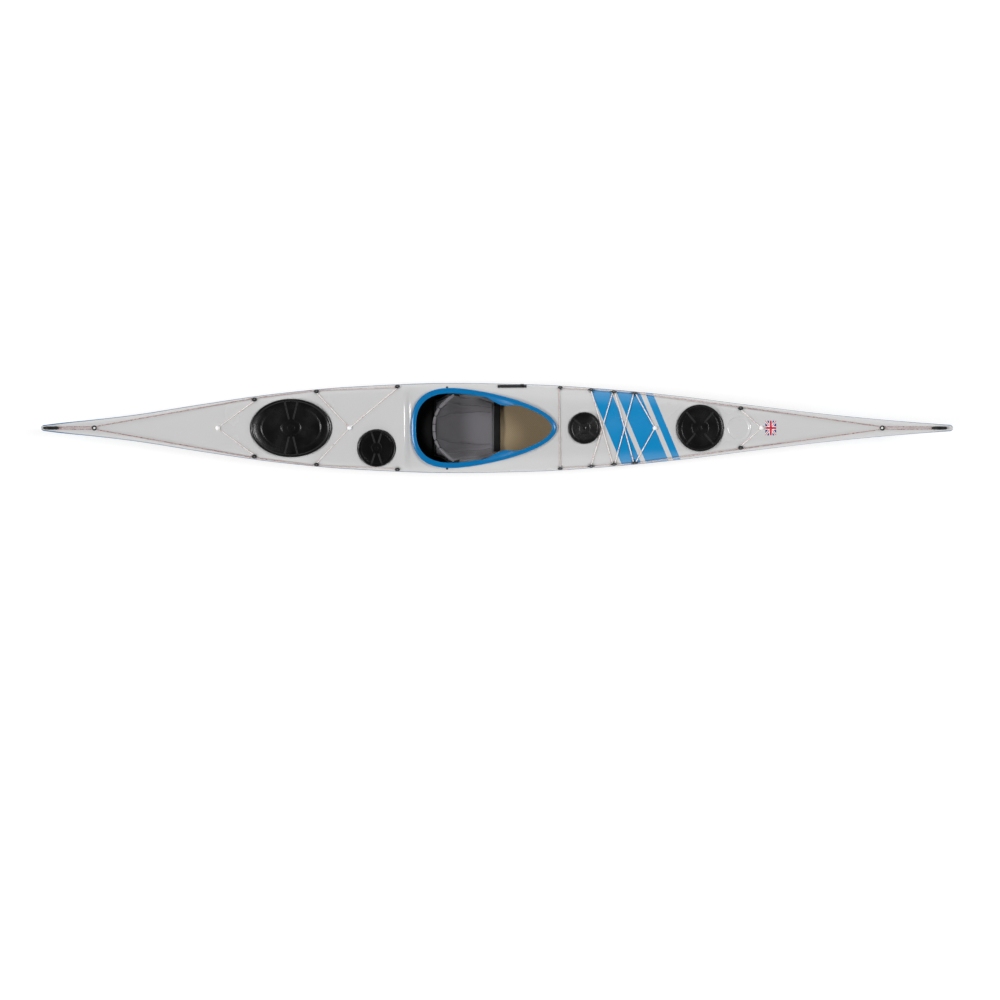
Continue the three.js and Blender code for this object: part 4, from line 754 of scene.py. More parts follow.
# Hatch covers
# Soft black rubber, moulded in one piece: a bead round the edge, a shallow dish with raised rings
# and ribs, and a hub in the middle. The groove underneath snaps over the neck of the rim.
# The one at the bow has a small tab to pull it off by.
# Deep black and smooth, so its rings and ribs catch soft highlights.
moulded_rubber = surface(
    "moulded_black_rubber", ("#060606", "#0A0A0A"), (0.18, 0.3), 90, 1.2, 0.015, IOR=1.52)
cover_height = 19.5
dish = cover_height * 0.72
cover_seat = rim_height + fit
rib_width = 9
rib_height = 3
ring_profile = ((3.5, 0), (2.2, 1.8), (0, 2.4), (-2.2, 1.8), (-3.5, 0))
cover_rings = {"stern": (0.73, 0.24), "day": (0.82, 0.26), "pod": (0.8, 0.34), "bow": (0.78, 0.36)}
rib_angle = {"stern": 80, "day": 72, "pod": 40, "bow": 50}
for name, hatch in hatches.items():
    outer = hatch["width"] / 2
    plug = mouth_radius(hatch) - 2 * fit
    hub = outer * 0.09
    lid = hatch_turned(f"{name}_hatch_lid", hatch, [
        (0, cover_height * 0.4), (plug, cover_height * 0.4), (plug, cover_seat),
        (outer - cover_skirt, cover_seat), (outer - cover_skirt, rim_flange + fit),
        (outer, rim_flange + fit), (outer, 12), (outer - 0.5, 15), (outer - 2, 17.4), (outer - 4.5, 19),
        (outer * 0.95, cover_height), (outer * 0.936, 19), (outer * 0.925, 17.4),
        (outer * 0.915, dish + 1), (outer * 0.905, dish),
        *[(outer * share + out, dish + up) for share in cover_rings[name] for out, up in ring_profile],
        (hub + 2, dish), (hub, dish + 2.6), (hub * 0.6, dish + 3.4), (0, dish + 3.6),
    ])
    for angle in [base + turn * rib_angle[name] for base, turn in ((0, 1), (180, -1), (180, 1), (360, -1))]:
        way = Vector((cos(radians(angle)) * hatch["length"] / hatch["width"], sin(radians(angle))))
        side = Vector((-way.y, way.x)).normalized() * rib_width / 2
        near, far = way * outer * 0.3, way * outer * 0.9
        corners = ((near, -1), (far, -1), (far, 1), (near, 1))
        carve(lid, loft("rib", [
            moved([(*(end + side * turn * share), z) for end, turn in corners], hatch_frame(hatch))
            for share, z in ((1, dish - 2), (1, dish + 0.4), (0.3, dish + rib_height))
        ]), operation="UNION")
    if name == "bow":
        carve(lid, loft("tab", [
            moved([(outer * 0.93, -y, z), (outer + 9 - y * 0.4, -y * 0.3, z),
                   (outer + 9 - y * 0.4, y * 0.3, z), (outer * 0.93, y, z)], hatch_frame(hatch))
            for y, z in ((17, 6.5), (17, 12), (13, 14.5))
        ]), operation="UNION")
    dress(lid, moulded_rubber, 35, "black_rubber", f"{name}_hatch_cover", body=f"{name}_hatch_cover")

# Seat bucket
# A moulded plastic bucket whose sides rise to the cockpit rim and carry the seat, so that
# nothing rests on the hull.
seat = {"rear": -377, "front": -18, "floor": 24, "half": 215.6, "top": 250, "wall": 5}
seat_steps = 9
seat_shares = [
    (0, 0.368), (0.036, 0.404), (0.103, 0.472), (0.2145, 0.784), (0.248, 0.9984), (0.393, 0.9984),
    (0.437, 0.784), (0.72, 0.68), (0.883, 0.472), (0.972, 0.362), (1, 0.336),
]
seat_curve = smooth_curve(seat_shares)


def seat_point(along, step, offset):
    """A point on the bucket's section, counted from the middle to the top, moved in by an offset"""
    height = seat["top"] - seat["floor"]
    top_share = ((seat_curve(along) * seat["top"] - seat["floor"]) / height) ** 0.2
    out = top_share * (1 - max(0, 1 - step / seat_steps) ** 1.7)
    slope = 5 * height / seat["half"] * out ** 4
    tilt = hypot(1, slope)
    return (seat["half"] * out - offset * slope / tilt, seat["floor"] + height * out ** 5 + offset / tilt)


def seat_x(along):
    return seat["rear"] + (seat["front"] - seat["rear"]) * along


def seat_row(along, last, step_length, offset_at):
    """The bucket's section from edge to edge, up to its last step on both sides"""
    steps = [last - i * step_length for i in range(round(last / step_length) + 1)]
    return [(seat_x(along), y, z) for y, z in mirrored([seat_point(along, s, offset_at(s)) for s in steps])]


bucket = loft("seat_bucket", [
    [*seat_row(along, seat_steps, 0.5, lambda step: 0),
     *seat_row(along, seat_steps, 0.5, lambda step: seat["wall"])[::-1]]
    for along in sorted({*[share for share, _ in seat_shares], *[i / 40 for i in range(41)]})
])
# Brushed polyester over foam: a matt mid grey with a soft sheen where it turns away.
# The knit is drawn at 1.6 mm, its real stitch being about 1 mm.
grey_knit = woven(surface(
    "grey_brushed_polyester_knit", ("#777579", "#6B696D"), (0.85, 0.97), 70, 1.6, 0.18,
    IOR=1.46, Sheen_Weight=0.35, Sheen_Roughness=0.45, Specular_IOR_Level=0.25,
), 1.6, ("#6A686C", "#807E82"), 0.12, across="Object")
bucket.data.materials.append(surface(
    "moulded_black_polyethylene", ("#0D0D0E", "#131314"), (0.4, 0.62), 80, 1.0, 0.05, IOR=1.51))
# The fabric of the pad is carried up over the inside of the bucket's sides.
bucket.data.materials.append(grey_knit)
covered = (seat["rear"] + 150, seat["front"] - 4)
for face in bucket.data.polygons:
    inward = face.normal.y * face.center.y < 0 or face.normal.z > 0.5
    if covered[0] < face.center.x * 1000 < covered[1] and inward and face.normal.z > -0.3:
        face.material_index = 1
dress(bucket, None, 40, "black_plastic", "seat_pan")

# Seat pad
# Closed-cell foam under grey stretch fabric, stuck down in the bucket. Stitched channels run
# fore and aft, and the foam is crowned between them.
pad = {"thickness": 20, "edge": 5, "bed": seat["wall"] + 0.5, "steps": 7, "rear": 0.036, "front": 0.972}
channel = {"depth": 6.5, "width": 0.32, "rear": 2, "fore": 3.5, "side": 5}


def pad_along(share):
    return pad["rear"] + (pad["front"] - pad["rear"]) * share


def pad_height(along, step):
    """Height of the pad above its bed"""
    end_share = sin(pi * min(1, max(0, along))) ** 0.35 if 0 < along < 1 else 0
    side_share = sqrt(max(0, 1 - (step / pad["steps"]) ** 6))
    inner = channel["rear"] + (channel["fore"] - channel["rear"]) * along
    dip = sum(exp(-(((step - at) / channel["width"]) ** 2)) for at in (inner, channel["side"]))
    crown = (pad["thickness"] - pad["edge"]) * end_share * side_share
    return pad["bed"] + pad["edge"] + crown - channel["depth"] * min(1, dip) * end_share


pad_rings = []
for i in range(49):
    share = (1 - cos(pi * i / 48)) / 2
    pad_rings.append([
        *seat_row(pad_along(share), pad["steps"], 0.125, lambda step: pad_height(share, step)),
        *seat_row(pad_along(share), pad["steps"], 0.125, lambda step: pad["bed"])[::-1],
    ])
foam_pad = loft("seat_cushion", pad_rings)
dress(foam_pad, grey_knit, 75, "grey_fabric", "seat_pad")

# The channels are closed with a lockstitch of dark bonded nylon thread.
thread = {"radius": 1.1, "sunk": 0.4}
seam_thread = surface("dark_bonded_nylon_thread", ("#1E1D20", "#28272A"), (0.6, 0.8), 20, 1.0, 0.1, IOR=1.53)


def tube(name, points, radius, sides=6):
    """A round cord along points"""
    rings = []
    for i, here in enumerate(points):
        before, after = points[max(0, i - 1)], points[min(len(points) - 1, i + 1)]
        way = ((here - before).normalized() + (after - here).normalized()).normalized()
        side = way.cross(Vector((0, 0, 1))).normalized()
        top = side.cross(way)
        rings.append([here + (side * cos(a) + top * sin(a)) * radius
                      for a in [2 * pi * k / sides for k in range(sides)]])
    return loft(name, rings)


both_sides = {"port": 1, "starboard": -1}
seams = {"inner": (channel["rear"], channel["fore"]), "outer": (channel["side"], channel["side"])}
for name, (rear, fore) in seams.items():
    for side, turn in both_sides.items():
        points = []
        for share in [i / 60 for i in range(2, 59)]:
            step = rear + (fore - rear) * share
            y, z = seat_point(pad_along(share), step, pad_height(share, step) - thread["sunk"])
            points.append(Vector((seat_x(pad_along(share)), turn * y, z)))
        dress(tube(f"{side}_{name}_stitching", points, thread["radius"]), seam_thread, 60, "grey_fabric")

# Front strap
# A roll of foam in black nylon webbing across the front edge of the seat. Its section is a square
# with its corners well rounded.
strap = {"length": 38, "thickness": 14, "steps": 6}


def squared(angle, corner):
    """Cosine and sine drawn out towards the corners of a square"""
    return [copysign(abs(part) ** corner, part) for part in (cos(angle), sin(angle))]


strap_rings = []
for i in range(24):
    along, up = squared(2 * pi * i / 24, 0.6)
    x = seat["front"] + fit + (along + 1) / 2 * strap["length"]
    strap_rings.append([(x, y, z) for _, y, z in seat_row(
        1, strap["steps"], 0.25, lambda step: (up + 1) / 2 * strap["thickness"])])
# A matt weave in two blacks.
black_webbing = woven(surface(
    "black_nylon_webbing", ("#0A0A0B", "#101012"), (0.7, 0.9), 50, 1.5, 0.15,
    IOR=1.53, Specular_IOR_Level=0.25,
), 2.5, ("#060607", "#121215"), 0.25, across="Object")
roll = loft("seat_front_roll", list(zip(*strap_rings)))
dress(roll, black_webbing, 60, "black_webbing", "seat_front_strap")

# Back band
# A padded crescent behind the paddler in the same grey fabric, sewn into upright panels and hung
# on the raised sides of the seat. It tilts on its two ends.
back = {"x": -377, "pivot": -262, "half": 201.7, "bottom": 118, "top": 246, "thickness": 20}
back_shares = [
    (0, 0, 0, 1), (0.061, 0.307, 0, 1), (0.278, 0.584, 0.047, 0.992), (0.626, 0.792, 0.25, 0.977),
    (0.878, 0.916, 0.695, 0.953), (0.991, 0.97, 0.719, 0.9375), (1, 1, 0.727, 0.93),
]
back_seams = (0.195, 0.335)
back_steps = 120


def centripetal(points, share):
    """A point on a Catmull-Rom curve, with its knots spaced by the root of their distance"""
    place = share * (len(points) - 1)
    i = min(int(place), len(points) - 2)
    p0, p1, p2, p3 = [points[0] * 2 - points[1], *points, points[-1] * 2 - points[-2]][i:i + 4]
    g0, g1, g2 = [(b - a).length ** 0.5 for a, b in ((p0, p1), (p1, p2), (p2, p3))]
    m1 = ((p1 - p0) / g0 - (p2 - p0) / (g0 + g1) + (p2 - p1) / g1) * g1
    m2 = ((p2 - p1) / g1 - (p3 - p1) / (g1 + g2) + (p3 - p2) / g2) * g1
    t = place - i
    return (p1 * (2 * t ** 3 - 3 * t ** 2 + 1) + m1 * (t ** 3 - 2 * t ** 2 + t)
            + p2 * (3 * t ** 2 - 2 * t ** 3) + m2 * (t ** 3 - t ** 2))


back_points = [Vector((back["x"] + (back["pivot"] - back["x"]) * fore, back["half"] * out))
               for fore, out, *_ in back_shares]
low_curve, high_curve = [smooth_curve([
    (i / 6, back["bottom"] + (back["top"] - back["bottom"]) * row[k]) for i, row in enumerate(back_shares)
]) for k in (2, 3)]


def band_point(share, angle, proud=0.0):
    """A point round the port half of the band; the angle runs from its front over its top"""
    here = centripetal(back_points, share)
    ahead = centripetal(back_points, min(1, share + 0.004)) - centripetal(back_points, max(0, share - 0.004))
    way = Vector((0, 1)) if share == 0 else ahead.normalized()
    pinch = sum(exp(-(((share - at) / 0.012) ** 2)) for at in back_seams)
    deep = back["thickness"] * (1 - 0.55 * share ** 3) / 2 * (1 - 0.6 * min(1, pinch)) + proud
    low, high = low_curve(share) - proud, high_curve(share) + proud
    out = squared(angle, 0.75)[0] * deep
    up = squared(angle, 0.4)[1] * (high - low) / 2
    return Vector((here.x + way.y * out, here.y - way.x * out, (low + high) / 2 + up))


def to_starboard(points):
    return [Vector((p.x, -p.y, p.z)) for p in points]


half_rings = [[band_point(i / back_steps, 2 * pi * k / 32) for k in range(32)] for i in range(back_steps + 1)]
band = loft("padded_back_band", [*[to_starboard(ring) for ring in reversed(half_rings[1:])], *half_rings])
dress(band, grey_knit, 75, "grey_fabric", "back_band", body="back_band")

# A dark cord is laced along the front edge of the band and over it at each seam.
lace = {"radius": 2.4, "proud": 1.4, "ends": 0.36, "edge": radians(38), "samples": 40}
edge_half = [band_point(lace["ends"] * i / lace["samples"], lace["edge"], lace["proud"])
             for i in range(lace["samples"] + 1)]
laces = {"edge": [*to_starboard(edge_half[:0:-1]), *edge_half]}
for number, at in enumerate((0.06, *back_seams)):
    laces[f"port_{number}"] = [band_point(at, radians(angle), lace["proud"]) for angle in range(38, 156, 6)]
    laces[f"starboard_{number}"] = to_starboard(laces[f"port_{number}"])
for name, points in laces.items():
    cord = tube(f"back_band_lace_{name}", points, lace["radius"])
    dress(cord, seam_thread, 60, "grey_fabric", body="back_band")

# Seat bolts
# Two black nylon-headed bolts through the side deck, which carry the seat and the back band.
bolts = {"x": -299, "y": 243, "radius": 7, "height": 5, "shank": 3, "length": 18}
radius, height, shank, foot = bolts["radius"], bolts["height"], bolts["shank"], 1 - bolts["length"]
head = [(radius * cos(t), 0.8 + (height - 0.8) * sin(t)) for t in (0, 0.35, 0.7, 1.05, 1.3)]
for name, side in both_sides.items():
    dress(turned(f"{name}_bolt_head", [
        (0, foot), (shank, foot), (shank, -3.4), (shank, 0.4), (radius, 0.4), *head, (2.4, height),
        (2.2, height - 1.6), (0, height - 1.6),
    ], deck_frame(bolts["x"], side * bolts["y"]), 24), filled_nylon, 35, "black_plastic", f"{name}_seat_bolt")

# Footrests
# A rail of anodised aluminium is bolted along each side of the hull, and a moulded pedal slides
# on it to suit the paddler's legs.
# The rails are satin silver and the pedals matt black.
anodised = surface(
    "clear_anodised_aluminium", ("#B8BABC", "#ACAEB0"), (0.3, 0.45), 40, 0.9, 0.02, Metallic=1.0)
pedal_nylon = surface(
    "ribbed_black_nylon_pedal", ("#1B1B1C", "#242425"), (0.42, 0.62), 40, 1.0, 0.08, IOR=1.53)
for side in both_sides:
    nodes[f"{side}_footrest_rail"].data.materials[0] = anodised
    nodes[f"{side}_footrest_pedal"].data.materials[0] = pedal_nylon

# Skeg
# A flat blade that swings down out of a narrow box in the keel on a stainless pin. A cable
# inside the boat joins it to the slider beside the cockpit.
# The mouldings are satin black, and the pin is bright.
skeg_finishes = {
    "box": surface(
        "welded_black_abs_box", ("#1A1A1B", "#222223"), (0.4, 0.6), 60, 1.2, 0.05, IOR=1.54),
    "blade": surface(
        "moulded_black_nylon_blade", ("#1A1A1A", "#242424"), (0.35, 0.55), 50, 1.0, 0.05, IOR=1.53),
    "pin": surface(
        "turned_stainless_steel", ("#C8C8C8", "#BEBEBE"), (0.22, 0.36), 20, 0.5, 0.01, Metallic=1.0),
    "cable": surface(
        "black_nylon_cable_sleeve", ("#1C1C1D", "#242425"), (0.4, 0.6), 60, 1.0, 0.03, IOR=1.53),
}
for name, finish in skeg_finishes.items():
    nodes["skeg_" + name].data.materials[0] = finish

# Skeg slider
# A slotted track of black acetal on the port side deck, and the ribbed knob that is pushed aft
# to lower the skeg.
slider = {"x": 90.5, "y": 248, "length": 174, "width": 24, "height": 8, "easing": 1.5, "gap": 0.1,
          "slot": 6, "margin": 14, "depth": 5}
knob = {"length": 22, "width": 16, "height": 7, "easing": 1.8, "stem": 5, "stem_length": 12, "travel": 120}
groove = {"width": 1.6, "depth": 1.2, "spacing": 3.6}
# Smooth black with a low shine.
acetal = surface("black_acetal", ("#0E0E0E", "#151515"), (0.3, 0.48), 40, 1.0, 0.03, IOR=1.48)


def placed(obj, place):
    obj.data.transform(Matrix.Scale(0.001, 4) @ place @ Matrix.Scale(1000, 4))
    return obj


def eased(obj, width, segments):
    """Rounds the edges of a block, by a width in mm"""
    def round_off(shape):
        sharp = [edge for edge in shape.edges if edge.calc_face_angle(0) > radians(30)]
        bmesh.ops.bevel(shape, geom=sharp, offset=width / 1000, segments=segments,
                        affect="EDGES", profile=0.5)

    return reshaped(obj, round_off)


slider_place = deck_frame(slider["x"], slider["y"])
track = eased(slab("skeg_track", (slider["length"], slider["width"], 2 * slider["height"]), (0, 0, 0)),
              slider["easing"], 3)
carve(track, slab("slot", (slider["length"] - 2 * slider["margin"], slider["slot"], 2 * slider["depth"]),
                  (0, 0, slider["height"])))
# The underside of the track follows the deck and lies just above it.
bed = put("bed", deck_blank.data.copy())
bed.data.transform(Matrix.Translation((0, 0, slider["gap"] / 1000)))
carve(placed(track, slider_place), bed)
dress(track, acetal, 35, "black_plastic", "skeg_slider_track")

grip_foot = slider["height"] + fit
grip = eased(slab("skeg_knob", (knob["length"], knob["width"], knob["height"]),
                  (0, 0, grip_foot + knob["height"] / 2)), knob["easing"], 3)
for i in (-2, -1, 0, 1, 2):
    carve(grip, slab("groove", (groove["width"], knob["width"] + 4, 2 * groove["depth"]),
                     (i * groove["spacing"], 0, grip_foot + knob["height"])))
stem_foot_z = slider["height"] - slider["depth"] + 2 * fit
carve(grip, slab("stem", (knob["stem_length"], knob["stem"], knob["height"]),
                 (0, 0, stem_foot_z + knob["height"] / 2)), operation="UNION")
placed(grip, slider_place @ Matrix.Translation((knob["travel"] / 2, 0, 0)))
dress(grip, acetal, 35, "black_plastic", "skeg_slider_knob", body="skeg_slider_knob")

# Deck fittings
# Moulded nylon posts with a round cap, each held by one stainless screw. The cords lie under the
# cap. Those beside the pod hatch have a hook to either side for the shock cord, and the two on the
# middle line have a pale plug over the screw.
fitting = {"post": 4, "cap": 15.5, "clearance": 7.2, "edge": 2, "height": 4.3, "flat": 9}
fitting_shares = {
    "aft_outer": (-0.2662, 0.883), "aft_middle": (-0.198, 0.93), "aft_inner": (-0.1093, 0.935),
    "fore_first": (0.0693, 0.937), "fore_second": (0.1034, 0.929), "fore_third": (0.1281, 0.921),
    "fore_fourth": (0.151, 0.931), "fore_fifth": (0.2675, 0.79),
}
centre_shares = {"stern_centre": (-0.442, 0), "bow_centre": (0.423, 0)}
# The screws show as dull grey dots, and the plugs as pale ones.
screw_steel = surface(
    "stainless_screw_head", ("#9A9A9A", "#8C8C8C"), (0.25, 0.4), 10, 0.6, 0.02, Metallic=1.0)
plug_nylon = surface("pale_grey_nylon_plug", ("#E4E4E2", "#DADAD8"), (0.35, 0.5), 8, 0.8, 0.03, IOR=1.53)
plug_radius = 6.8
hook = {"reach": 20.5, "width": 9, "height": 3.2, "easing": 1.2}
hooked = ("fore_second", "fore_third", "fore_fourth")


def deck_place(shares, side=1):
    x = shares[0] * hull_length
    return x, side * shares[1] * half_beam(x)


post, cap, clear = fitting["post"], fitting["cap"], fitting["clearance"]
edge, top = clear + fitting["edge"], clear + fitting["height"]
all_fittings = {f"{side}_{name}": deck_place(shares, turn)
                for name, shares in fitting_shares.items() for side, turn in both_sides.items()}
all_fittings.update({name: deck_place(shares) for name, shares in centre_shares.items()})
for name, place in all_fittings.items():
    here = deck_frame(*place)
    body = turned(name + "_post", [
        (0, -0.8), (post + 1.5, -0.8), (post + 1.2, 0.8), (post, 2.2), (post, clear - 1), (post + 1, clear),
        (cap - 0.8, clear), (cap, clear + 0.8), (cap, edge), (cap - 1.2, edge + 0.9), (cap - 4, top - 0.9),
        (fitting["flat"], top), (4.4, top), (4.2, top - 1.4), (0, top - 1.4),
    ], Matrix(), 32)
    if any(kind in name for kind in hooked):
        arms = slab("hook", (2 * hook["reach"], hook["width"], hook["height"]),
                    (0, 0, clear + 0.2 + hook["height"] / 2))
        carve(body, eased(arms, hook["easing"], 2), operation="UNION")
    dress(placed(body, here), filled_nylon, 35, "black_plastic", name + "_fitting")
    dress(turned(name + "_post_screw", [
        (0, top - 1.6), (3.9, top - 1.6), (3.7, top - 0.7), (2.6, top - 0.2), (1.2, top), (1.1, top - 0.9),
        (0, top - 0.9),
    ], here, 16), screw_steel, 35, "stainless_steel")
    if name in centre_shares:
        dress(turned(name + "_post_plug", [
            (0, top - 0.3), (plug_radius, top - 0.3), (plug_radius, top + 0.5), (plug_radius - 1, top + 1),
            (plug_radius - 3, top + 1.3), (0, top + 1.4),
        ], here, 24), plug_nylon, 35, "black_plastic")

# Carry toggles
# Black rubber crescents at both ends, each on a short stem, for two people to lift the boat by.
toggle = {"length": 94, "width": 20, "rise": 13, "tip": 4, "bottom": 11, "height": 28, "stem": 3,
          "easing": 0.3}
toggle_shares = {"stern": (-0.4895, 0), "bow": (0.486, 0)}
# Deep black and nearly matt.
toggle_rubber = surface("soft_black_toggle_rubber", ("#060606", "#0B0B0B"), (0.45, 0.65), 30, 1.0, 0.06,
                        IOR=1.52, Specular_IOR_Level=0.3)


def toggle_levels(share):
    """Underside and top of the crescent, from its middle to its tip"""
    half = toggle["length"] / 2
    x = half * share
    low_t = min(1, x / (half - toggle["tip"]))
    low = toggle["bottom"] + toggle["tip"] / 2 * (1 - low_t ** 2)
    t = 1.0
    for _ in range(30):
        at = (1 - t) ** 2 * half + 2 * t * (1 - t) * toggle["length"] / 3
        t -= (at - x) / (-2 * (1 - t) * half + 2 * (1 - 2 * t) * toggle["length"] / 3 - 1e-6)
        t = min(1, max(0, t))
    peak = toggle["bottom"] + toggle["height"] - toggle["easing"]
    return x, low, (1 - t) ** 2 * toggle["rise"] + (2 * t * (1 - t) + t * t) * peak


for name, shares in toggle_shares.items():
    rings = []
    for i in range(-20, 21):
        share = sin(pi / 2 * i / 20)
        x, low, high = toggle_levels(abs(share))
        middle, tall = (low + high) / 2, max(0.8, (high - low) / 2)
        wide = toggle["width"] / 2 * max(0.45, (1 - share ** 8) ** 0.5)
        rings.append([(copysign(x, share), out * wide, middle + up * tall)
                      for out, up in [squared(2 * pi * k / 24, 0.6) for k in range(24)]])
    stem = toggle["stem"] - 0.2
    handle = loft(f"{name}_carry_toggle", rings)
    carve(handle, turned("stem", [(0, 0.4), (stem, 0.4), (stem, 25), (0, 25)], Matrix(), 20),
          operation="UNION")
    placed(handle, deck_frame(*deck_place(shares)))
    dress(handle, toggle_rubber, 45, "black_rubber", f"{name}_toggle", body=f"{name}_toggle")

# Perimeter lines
# Braided polyester, 6 mm thick, white with red flecks, pulled tight along both edges of the deck
# under the fittings and round the stem of each toggle.
cord_radius = 2.6
least_lift = 3.8
cord_lift = 3.5
leg_lift = 1.5
across_lift = 3.5
wrap_radius = fitting["post"] + 0.9 + cord_radius
line_radius = 3.0
outer_reach = wrap_radius + 2 * line_radius + 0.4
end_reach = fitting["post"] + cord_radius
leg_samples = 40
leg_rise_length = 60


def by_post(place, forward, outboard, lift=cord_lift):
    side = -1 if place[1] < 0 else 1
    return deck_frame(*place) @ Vector((forward, side * outboard, lift))


def round_post(place, start, end, steps, reach=wrap_radius):
    angles = [radians(start + (end - start) * i / steps) for i in range(steps + 1)]
    return [by_post(place, reach * cos(a), reach * sin(a)) for a in angles]


def over_deck(place, up):
    return deck_height(place.x, place.y) + up / deck_normal(place.x, place.y).z


def leg(start, end, lift):
    """A pulled cord is straight but for where it would touch the deck; there it bends over it"""
    samples = []
    for i in range(leg_samples + 1):
        place = start.lerp(end, i / leg_samples)
        near = min((place - start).length, (place - end).length)
        if 0 < i < leg_samples:
            place.z = over_deck(place, cord_lift + lift * min(1, near / leg_rise_length))
        samples.append(place)

    def clears(i, j):
        return all(samples[i].z + (samples[j].z - samples[i].z) * (k - i) / (j - i)
                   > over_deck(samples[k], least_lift) for k in range(i + 1, j))

    places, i = [], 0
    while i < leg_samples:
        j = leg_samples
        while j > i + 1 and not clears(i, j):
            j -= 1
        if j < leg_samples:
            places.append(samples[j])
        i = j
    return places


def laid_over(groups, lift=leg_lift, hops=()):
    """Joins groups of points with legs; a leg that hops passes over another cord half way"""
    points = list(groups[0])
    for g, group in enumerate(groups[1:]):
        start, end = points[-1], group[0]
        if g in hops:
            top = start.lerp(end, 0.5)
            top.z = deck_height(top.x, top.y) + cord_lift + lift + 2 * (cord_radius + 0.9)
            points += [*leg(start, top, lift), top, *leg(top, end, lift)]
        else:
            points += leg(start, end, lift)
        points += group
    return points


def braided(name, points, radius, sides=12):
    """A round cord along points, with its length laid along its UVs"""
    cord = tube(name, points, radius, sides)
    lengths = [0.0]
    for before, here in zip(points, points[1:]):
        lengths.append(lengths[-1] + (here - before).length)
    layer = cord.data.uv_layers.new(name="UVMap")
    for face in cord.data.polygons:
        around = [index % sides for index in face.vertices]
        for loop, index, k in zip(face.loop_indices, face.vertices, around):
            turn = sides if k == 0 and max(around) > sides / 2 else k
            layer.data[loop].uv = (lengths[index // sides] / 1000, turn / sides * 2 * pi * radius / 1000)
    return cord


strand = {"length": 5, "width": 1.6, "lay": 35, "depth": 0.3}


def fleck_braid(name, tones, flecks, thread):
    """White braided sleeve with a coloured carrier that shows in a share of its strands as flecks"""
    finish = surface(name, tones, (0.7, 0.88), 25, 1.4, 0.12, IOR=1.53, Sheen_Weight=0.15)
    tree = finish.node_tree
    turn = add(tree, "Mapping", {
        "Vector": add(tree, "TexCoord").outputs["UV"], "Rotation": (0, 0, radians(strand["lay"])),
        "Scale": (1000 / strand["length"], 1000 / strand["width"], 1.0),
    })
    cells = add(tree, "TexVoronoi", {"Vector": turn, "Scale": 1.0})
    pick = add(tree, "SeparateColor", {0: cells.outputs["Color"]})
    tint(finish, add(tree, "Math", {0: pick, 1: flecks}, operation="LESS_THAN"), linear(thread))
    emboss(finish, cells.outputs["Distance"], strand["depth"])
    return finish


# The braid's tones are darker than clean white braid: painted shade for the shadow that the cord casts beside
# itself on the deck.
line_braid = fleck_braid("shade_darkened_flecked_polyester_braid", ("#C9BBB7", "#B5A6A3"), 0.4, "#82444A")
# It is lighter amidships and keeps its darker tones, the painted shade, towards the ends.
tree = line_braid.node_tree
away = add(tree, "Math", {0: whereabouts(line_braid)[0]}, operation="ABSOLUTE")
tint(line_braid, add(tree, "MapRange", {
    "Value": away, "From Min": 0.7, "From Max": 1.5, "To Min": 0.6, "To Max": 0.0,
}), linear("#EADFDB"))
turn_reach = toggle["stem"] + fit + cord_radius
places = {name: deck_place(shares) for name, shares in fitting_shares.items()}
first_turn = round_post(places["fore_first"], 180, 90, 9)
aft_half, fore_half = [laid_over([
    start, *[[by_post(places[name], 0, outer_reach)] for name in names],
    [by_post(deck_place(centre_shares[end + "_centre"]), 0, wrap_radius)],
    round_post(deck_place(toggle_shares[end]), 90, last, 9, turn_reach),
]) for end, start, names, last in (
    ("stern", [by_post(places["aft_inner"], -end_reach, 0)], ("aft_middle", "aft_outer"), 180),
    ("bow", first_turn, ("fore_second", "fore_third", "fore_fourth", "fore_fifth"), 0),
)]
first_starboard = deck_place(fitting_shares["fore_first"], -1)
fore_line = laid_over([
    [by_post(first_starboard, 0, -end_reach)],
    [*fore_half, *to_starboard(fore_half[-2:len(first_turn) - 2:-1])],
    [by_post(first_starboard, end_reach, cord_radius)],
], across_lift)
aft_line = [*aft_half, *to_starboard(aft_half[-2::-1])]
for name, points in (("aft_deckline", aft_line), ("fore_deckline", fore_line)):
    dress(braided(name + "_braid", points, line_radius), line_braid, 50, "flecked_cord", name)

# Shock cords and beads
# Rubber-cored cord in the same flecked braid, stretched across the deck to hold charts and spare
# paddles. White nylon beads gather it on the middle line.
bead = {"radius": 13, "height": 20, "hole": 6}
bead_dome = [(0.8, -0.05), (0.9, 0.04), (0.97, 0.16), (1, 0.3), (0.98, 0.45), (0.9, 0.62), (0.76, 0.78),
             (0.56, 0.91), (0.3, 0.985)]
bead_shares = {"aft": -0.3069, "rear": -0.162, "fore": 0.1732, "bow": 0.2902}
shock_cord_radius = 3.2
# The shock cord is clean white with a few red flecks, and the beads are a milky white.
bungee_braid = fleck_braid("flecked_shock_cord_braid", ("#F4F1EF", "#ECE8E5"), 0.09, "#C0404E")
bead_nylon = surface("white_nylon_bead", ("#FFFFFF", "#F8F7F5"), (0.3, 0.45), 8, 1.0, 0.03,
                     IOR=1.53, Subsurface_Weight=0.1, Subsurface_Scale=0.004)


def bead_point(name):
    return [by_post((bead_shares[name] * hull_length, 0.0), 0, 0, bead["hole"])]


def cord_end(name, side):
    return [by_post(deck_place(fitting_shares[name], side), 0, -end_reach)]


def wrapped(name, side):
    return round_post(deck_place(fitting_shares[name], side), 205, -25, 16)


def cross_cord(name, bead_name):
    return laid_over([cord_end(name, 1), bead_point(bead_name), cord_end(name, -1)], across_lift)


